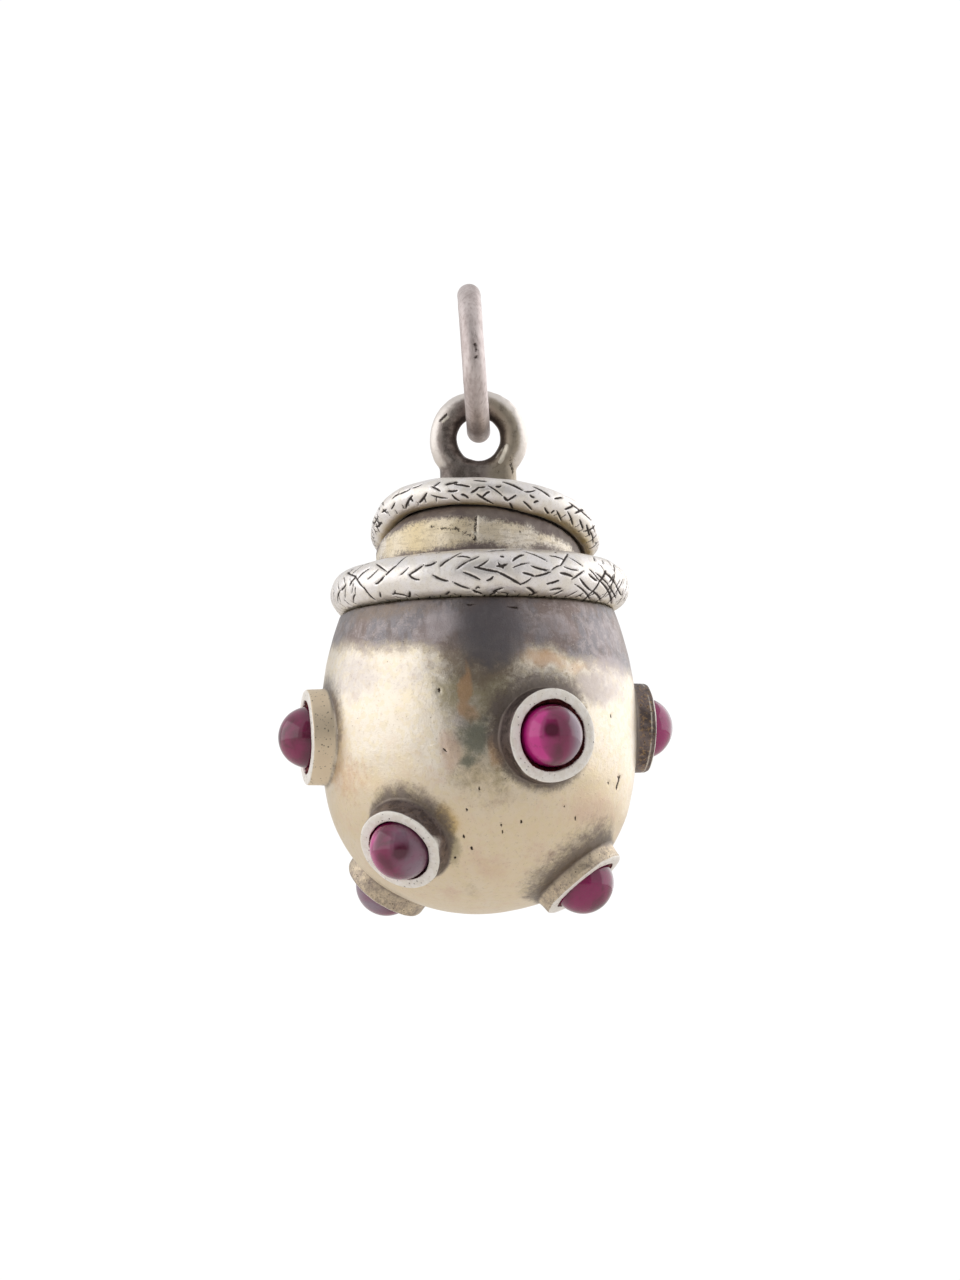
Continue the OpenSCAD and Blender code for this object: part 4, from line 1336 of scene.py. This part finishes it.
            # the inside of the lip, which the material paints dark red as shade in the gap round the stone
            inner = np.clip(0.5 + (2.31 + 0.05 * wobble - usual) / 0.16, 0, 1)
            even = np.ones(len(flat))
            values.append({
                "rim": rim.reshape(-1), "lip": inner.reshape(-1), "wall": side.reshape(-1),
                "crest": crest.reshape(-1), "pale": pale * even, "rust": rust * even, **egg_values(flat)})
        piece = solid("bezel_cups", np.concatenate(all_points), np.concatenate(all_faces))
        paint_values(piece, **{k: np.concatenate([v[k] for v in values]) for k in values[0]})
        dress(piece, EGG_BODY, egg_metal(looks, "bezel_silver", bezels=True), "egg_gilt", "egg_shell")

    def ground(self, base, out):
        """Height of the egg's surface over points, measured along a bezel's axis."""
        height = np.zeros(base.shape[:-1])
        for _ in range(12):
            here = base + height[..., None] * out
            off = egg_distance(here)
            slope = (egg_distance(here + 0.01 * out) - off) / 0.01
            height = height - off / np.maximum(slope, 0.25)
        here = base + height[..., None] * out
        return height + hand_raised(here)

    def melt(self, a, b, soft):
        """The higher of two heights, with a soft corner between them."""
        share = np.clip(0.5 + (a - b) / (2 * soft), 0, 1)
        return b + (a - b) * share + soft * share * (1 - share)


class PENDANT_OT_stones(bpy.types.Operator):
    """Sets the eight cabochons, each a polished dome on a straight girdle"""

    bl_idname = "pendant.stones"
    bl_label = "Cabochons"

    def execute(self, context):
        looks = looks_of("stone")
        material = stone_glass(looks)
        for number, place in enumerate(STONES):
            self.set_stone(number, place, material)
        return {"FINISHED"}

    def set_stone(self, number, place, material):
        spot, across, up, out = stone_frame(place)
        top = place[2] + STONE_PROUD
        girdle = top - STONE_R
        lift = np.linspace(0, math.pi / 2, 40)
        dome = [(STONE_R * math.cos(t), girdle + STONE_R * math.sin(t)) for t in lift]
        dome[-1] = (0.004, top)
        chamfer = [(0.004, 0.0), (1.0, 0.0), (STONE_R - 0.16, 0.0), (STONE_R - 0.04, 0.05), (STONE_R, 0.16)]
        rise = [(STONE_R, girdle * t) for t in (0.35, 0.7)] if girdle > 0.3 else []
        profile = np.array(chamfer + rise + dome)
        turn = np.linspace(0, 2 * math.pi, STONE_SIDES, endpoint=False)
        ring = across * np.cos(turn)[:, None] + up * np.sin(turn)[:, None]
        points = spot + profile[:, 0, None, None] * ring[None] + profile[:, 1, None, None] * out
        swell = 1 + 0.006 * waves(points + number * 5, 2.4, 61)
        centre = spot + out * max(girdle, 0)
        points = centre + (points - centre) * np.minimum(swell, 1)[..., None]
        piece = surface(f"cabochon_{number + 1}", points)
        # light that comes in from the right gathers on the left, and the right side is veiled by its glare
        r = profile[:, 0:1] / STONE_R
        lit = -(np.cos(turn) * math.cos(GLOW_TURN) + np.sin(turn) * math.sin(GLOW_TURN))[None, :]
        glow = smooth((r * lit - 0.1) / 0.8) * smooth((1.15 - r) / 0.2)
        crescent = smooth((lit - 0.2) / 0.5) * np.exp(-(((r - 0.84) / 0.07) ** 2))
        milky = smooth((-r * lit - 0.05) / 0.6)
        # the painted dark reflection, with a wider soft shade round it
        across_by, up_by = DARK_REFLECTIONS.get(number, (0.0, 0.0))
        x, y = r * STONE_R * np.cos(turn)[None, :], r * STONE_R * np.sin(turn)[None, :]
        off_reflection = (x - across_by) ** 2 + (y - up_by) ** 2
        apex, hollow = np.exp(-off_reflection / DARK_REFLECTION_R**2), np.exp(-off_reflection / HOLLOW_R**2)
        # painted shade towards the rim, less on the glowing side
        edge = smooth((r - 0.9) / 0.1) * (1 - 0.8 * smooth((lit + 0.1) / 0.6))
        glows, veiled = STONE_LOOKS[number]
        paint_values(
            piece, glow=np.clip(glow * 0.8 + crescent, 0, 1) * glows, edge=edge,
            apex=np.clip(apex + 0.35 * hollow, 0, 1),
            milky=np.clip(milky * veiled, 0, 1) * (1 - 0.6 * hollow))
        dress(piece, EGG_BODY, material, "stone", f"stone_{number + 1}")


class PENDANT_OT_stage(bpy.types.Operator):
    """Sets up the pale floor, the white surround, the soft lights and the camera"""

    bl_idname = "pendant.stage"
    bl_label = "Stage"

    def execute(self, context):
        looks = looks_of("stage")
        self.floor(looks)
        self.surround(looks)
        self.backdrop()
        self.card("dark_card", -25, 31, (-0.28, 1.5), looks.card)
        self.wall("left_wall", -83, (1.66, 0.9), 0.34, looks.left)
        self.wall("right_wall", 120, (1.6, 0.9), 0.34, looks.right)
        self.camera(context, looks)
        context.scene.view_settings.view_transform = "Standard"
        return {"FINISHED"}

    def floor(self, looks):
        turn = np.linspace(0, 360, 96, endpoint=False)
        radii = np.array([1.0, 200, 600, 1500, 3000])[:, None]
        points = around(radii, turn[None, :], -looks.floor_drop / MM)
        floor = surface("floor", points, outward=False)
        floor.data.materials.append(plain("floor_paper", tuple(looks.floor), 0.9))

    def surround(self, looks):
        world = bpy.data.worlds.new("white_surround")
        world.use_nodes = True
        world.node_tree.nodes["Background"].inputs["Color"].default_value = (1, 1, 1, 1)
        world.node_tree.nodes["Background"].inputs["Strength"].default_value = looks.tent
        bpy.context.scene.world = world

    def backdrop(self):
        """A white dome that only the camera sees, brighter than the light that falls on the pendant."""
        turn = np.linspace(0, 360, 64, endpoint=False)
        rise = np.radians(np.linspace(-89, 89, 32))[:, None]
        points = around(BACKDROP_R * np.cos(rise), turn[None, :], BACKDROP_R * np.sin(rise))
        dome = surface("backdrop", points, outward=False)
        paint = Paint("backdrop_white")
        dome.data.materials.append(paint.finish(
            Base_Color=(0, 0, 0), Specular_IOR_Level=0.0, Emission_Color=(1, 1, 1), Emission_Strength=1.05))
        dome.visible_diffuse = dome.visible_glossy = dome.visible_transmission = False
        dome.visible_volume_scatter = dome.visible_shadow = False

    def card(self, name, start, end, heights, shade):
        """A dark card out of the picture, which the metal mirrors as its dark middle."""
        a = np.linspace(start, end, 12)
        z = np.array(heights)[:, None] / MM
        card = surface(name, around(CARD_DISTANCE, a[None, :], z), closed=False)
        card.data.materials.append(plain(name + "_cloth", (shade,) * 3, 0.9))
        card.visible_camera = False

    def wall(self, name, azimuth, size, height, brightness):
        """A wide soft light that stands off to one side and faces the pendant."""
        light = bpy.data.lights.new(name, "AREA")
        light.shape, light.size, light.size_y = "RECTANGLE", *size
        light.energy = brightness * math.pi * size[0] * size[1]
        wall = bpy.data.objects.new(name, light)
        a = math.radians(azimuth)
        wall.location = Vector((math.sin(a), -math.cos(a), 0)) * WALL_DISTANCE + Vector((0, 0, height))
        aim = Vector((0, 0, height)) - wall.location
        wall.rotation_mode = "QUATERNION"
        wall.rotation_quaternion = aim.to_track_quat("-Z", "Y")
        wall.visible_camera = False
        bpy.context.scene.collection.objects.link(wall)

    def camera(self, context, looks):
        across, down = PHOTO_AXIS - PHOTO_WIDTH / 2, PHOTO_HEIGHT / 2 - PHOTO_TOP
        scale = looks.pixels_per_mm
        a, e = looks.azimuth, looks.elevation
        back = Vector((math.sin(a) * math.cos(e), -math.cos(a) * math.cos(e), math.sin(e)))
        right = Vector((math.cos(a), math.sin(a), 0))
        up = right.cross(back) * -1
        target = Vector(AXIS) * MM - right * (across / scale * MM)
        target = target - Vector((0, 0, 1)) * (down / scale / math.cos(e) * MM)
        data = bpy.data.cameras.new("camera")
        camera = bpy.data.objects.new("camera", data)
        camera.location = target + back * looks.distance
        camera.rotation_mode = "QUATERNION"
        camera.rotation_quaternion = (-back).to_track_quat("-Z", "Y")
        data.sensor_width = 36
        data.lens = data.sensor_width * looks.distance / (PHOTO_HEIGHT / scale * MM)
        data.clip_start, data.clip_end = 0.01, 20
        context.scene.collection.objects.link(camera)
        context.scene.camera = camera


class PENDANT_PT_panel(bpy.types.Panel):
    """Lists the pieces of the pendant and what can be changed on them"""

    bl_idname = "PENDANT_PT_panel"
    bl_label = "Egg pendant"
    bl_space_type = "VIEW_3D"
    bl_region_type = "UI"
    bl_category = "Pendant"

    def draw(self, context):
        for operator, (name, group) in zip(OPERATORS, LOOKS.items()):
            box = self.layout.box()
            box.operator(operator.bl_idname)
            for setting in group.__annotations__:
                box.prop(looks_of(name), setting)


OPERATORS = (
    PENDANT_OT_jump_ring, PENDANT_OT_neck, PENDANT_OT_snake, PENDANT_OT_egg, PENDANT_OT_stones,
    PENDANT_OT_stage,
)


def register():
    for name, group in LOOKS.items():
        bpy.utils.register_class(group)
        setattr(bpy.types.Scene, "pendant_" + name, bpy.props.PointerProperty(type=group))
    for item in (*OPERATORS, PENDANT_PT_panel):
        bpy.utils.register_class(item)


def unregister():
    for item in (PENDANT_PT_panel, *reversed(OPERATORS)):
        bpy.utils.unregister_class(item)
    for name, group in LOOKS.items():
        delattr(bpy.types.Scene, "pendant_" + name)
        bpy.utils.unregister_class(group)


def main():
    register()
    bpy.ops.pendant.jump_ring()
    bpy.ops.pendant.neck()
    bpy.ops.pendant.snake()
    bpy.ops.pendant.egg()
    bpy.ops.pendant.stones()
    bpy.ops.pendant.stage()


if __name__ == "__main__":
    main()
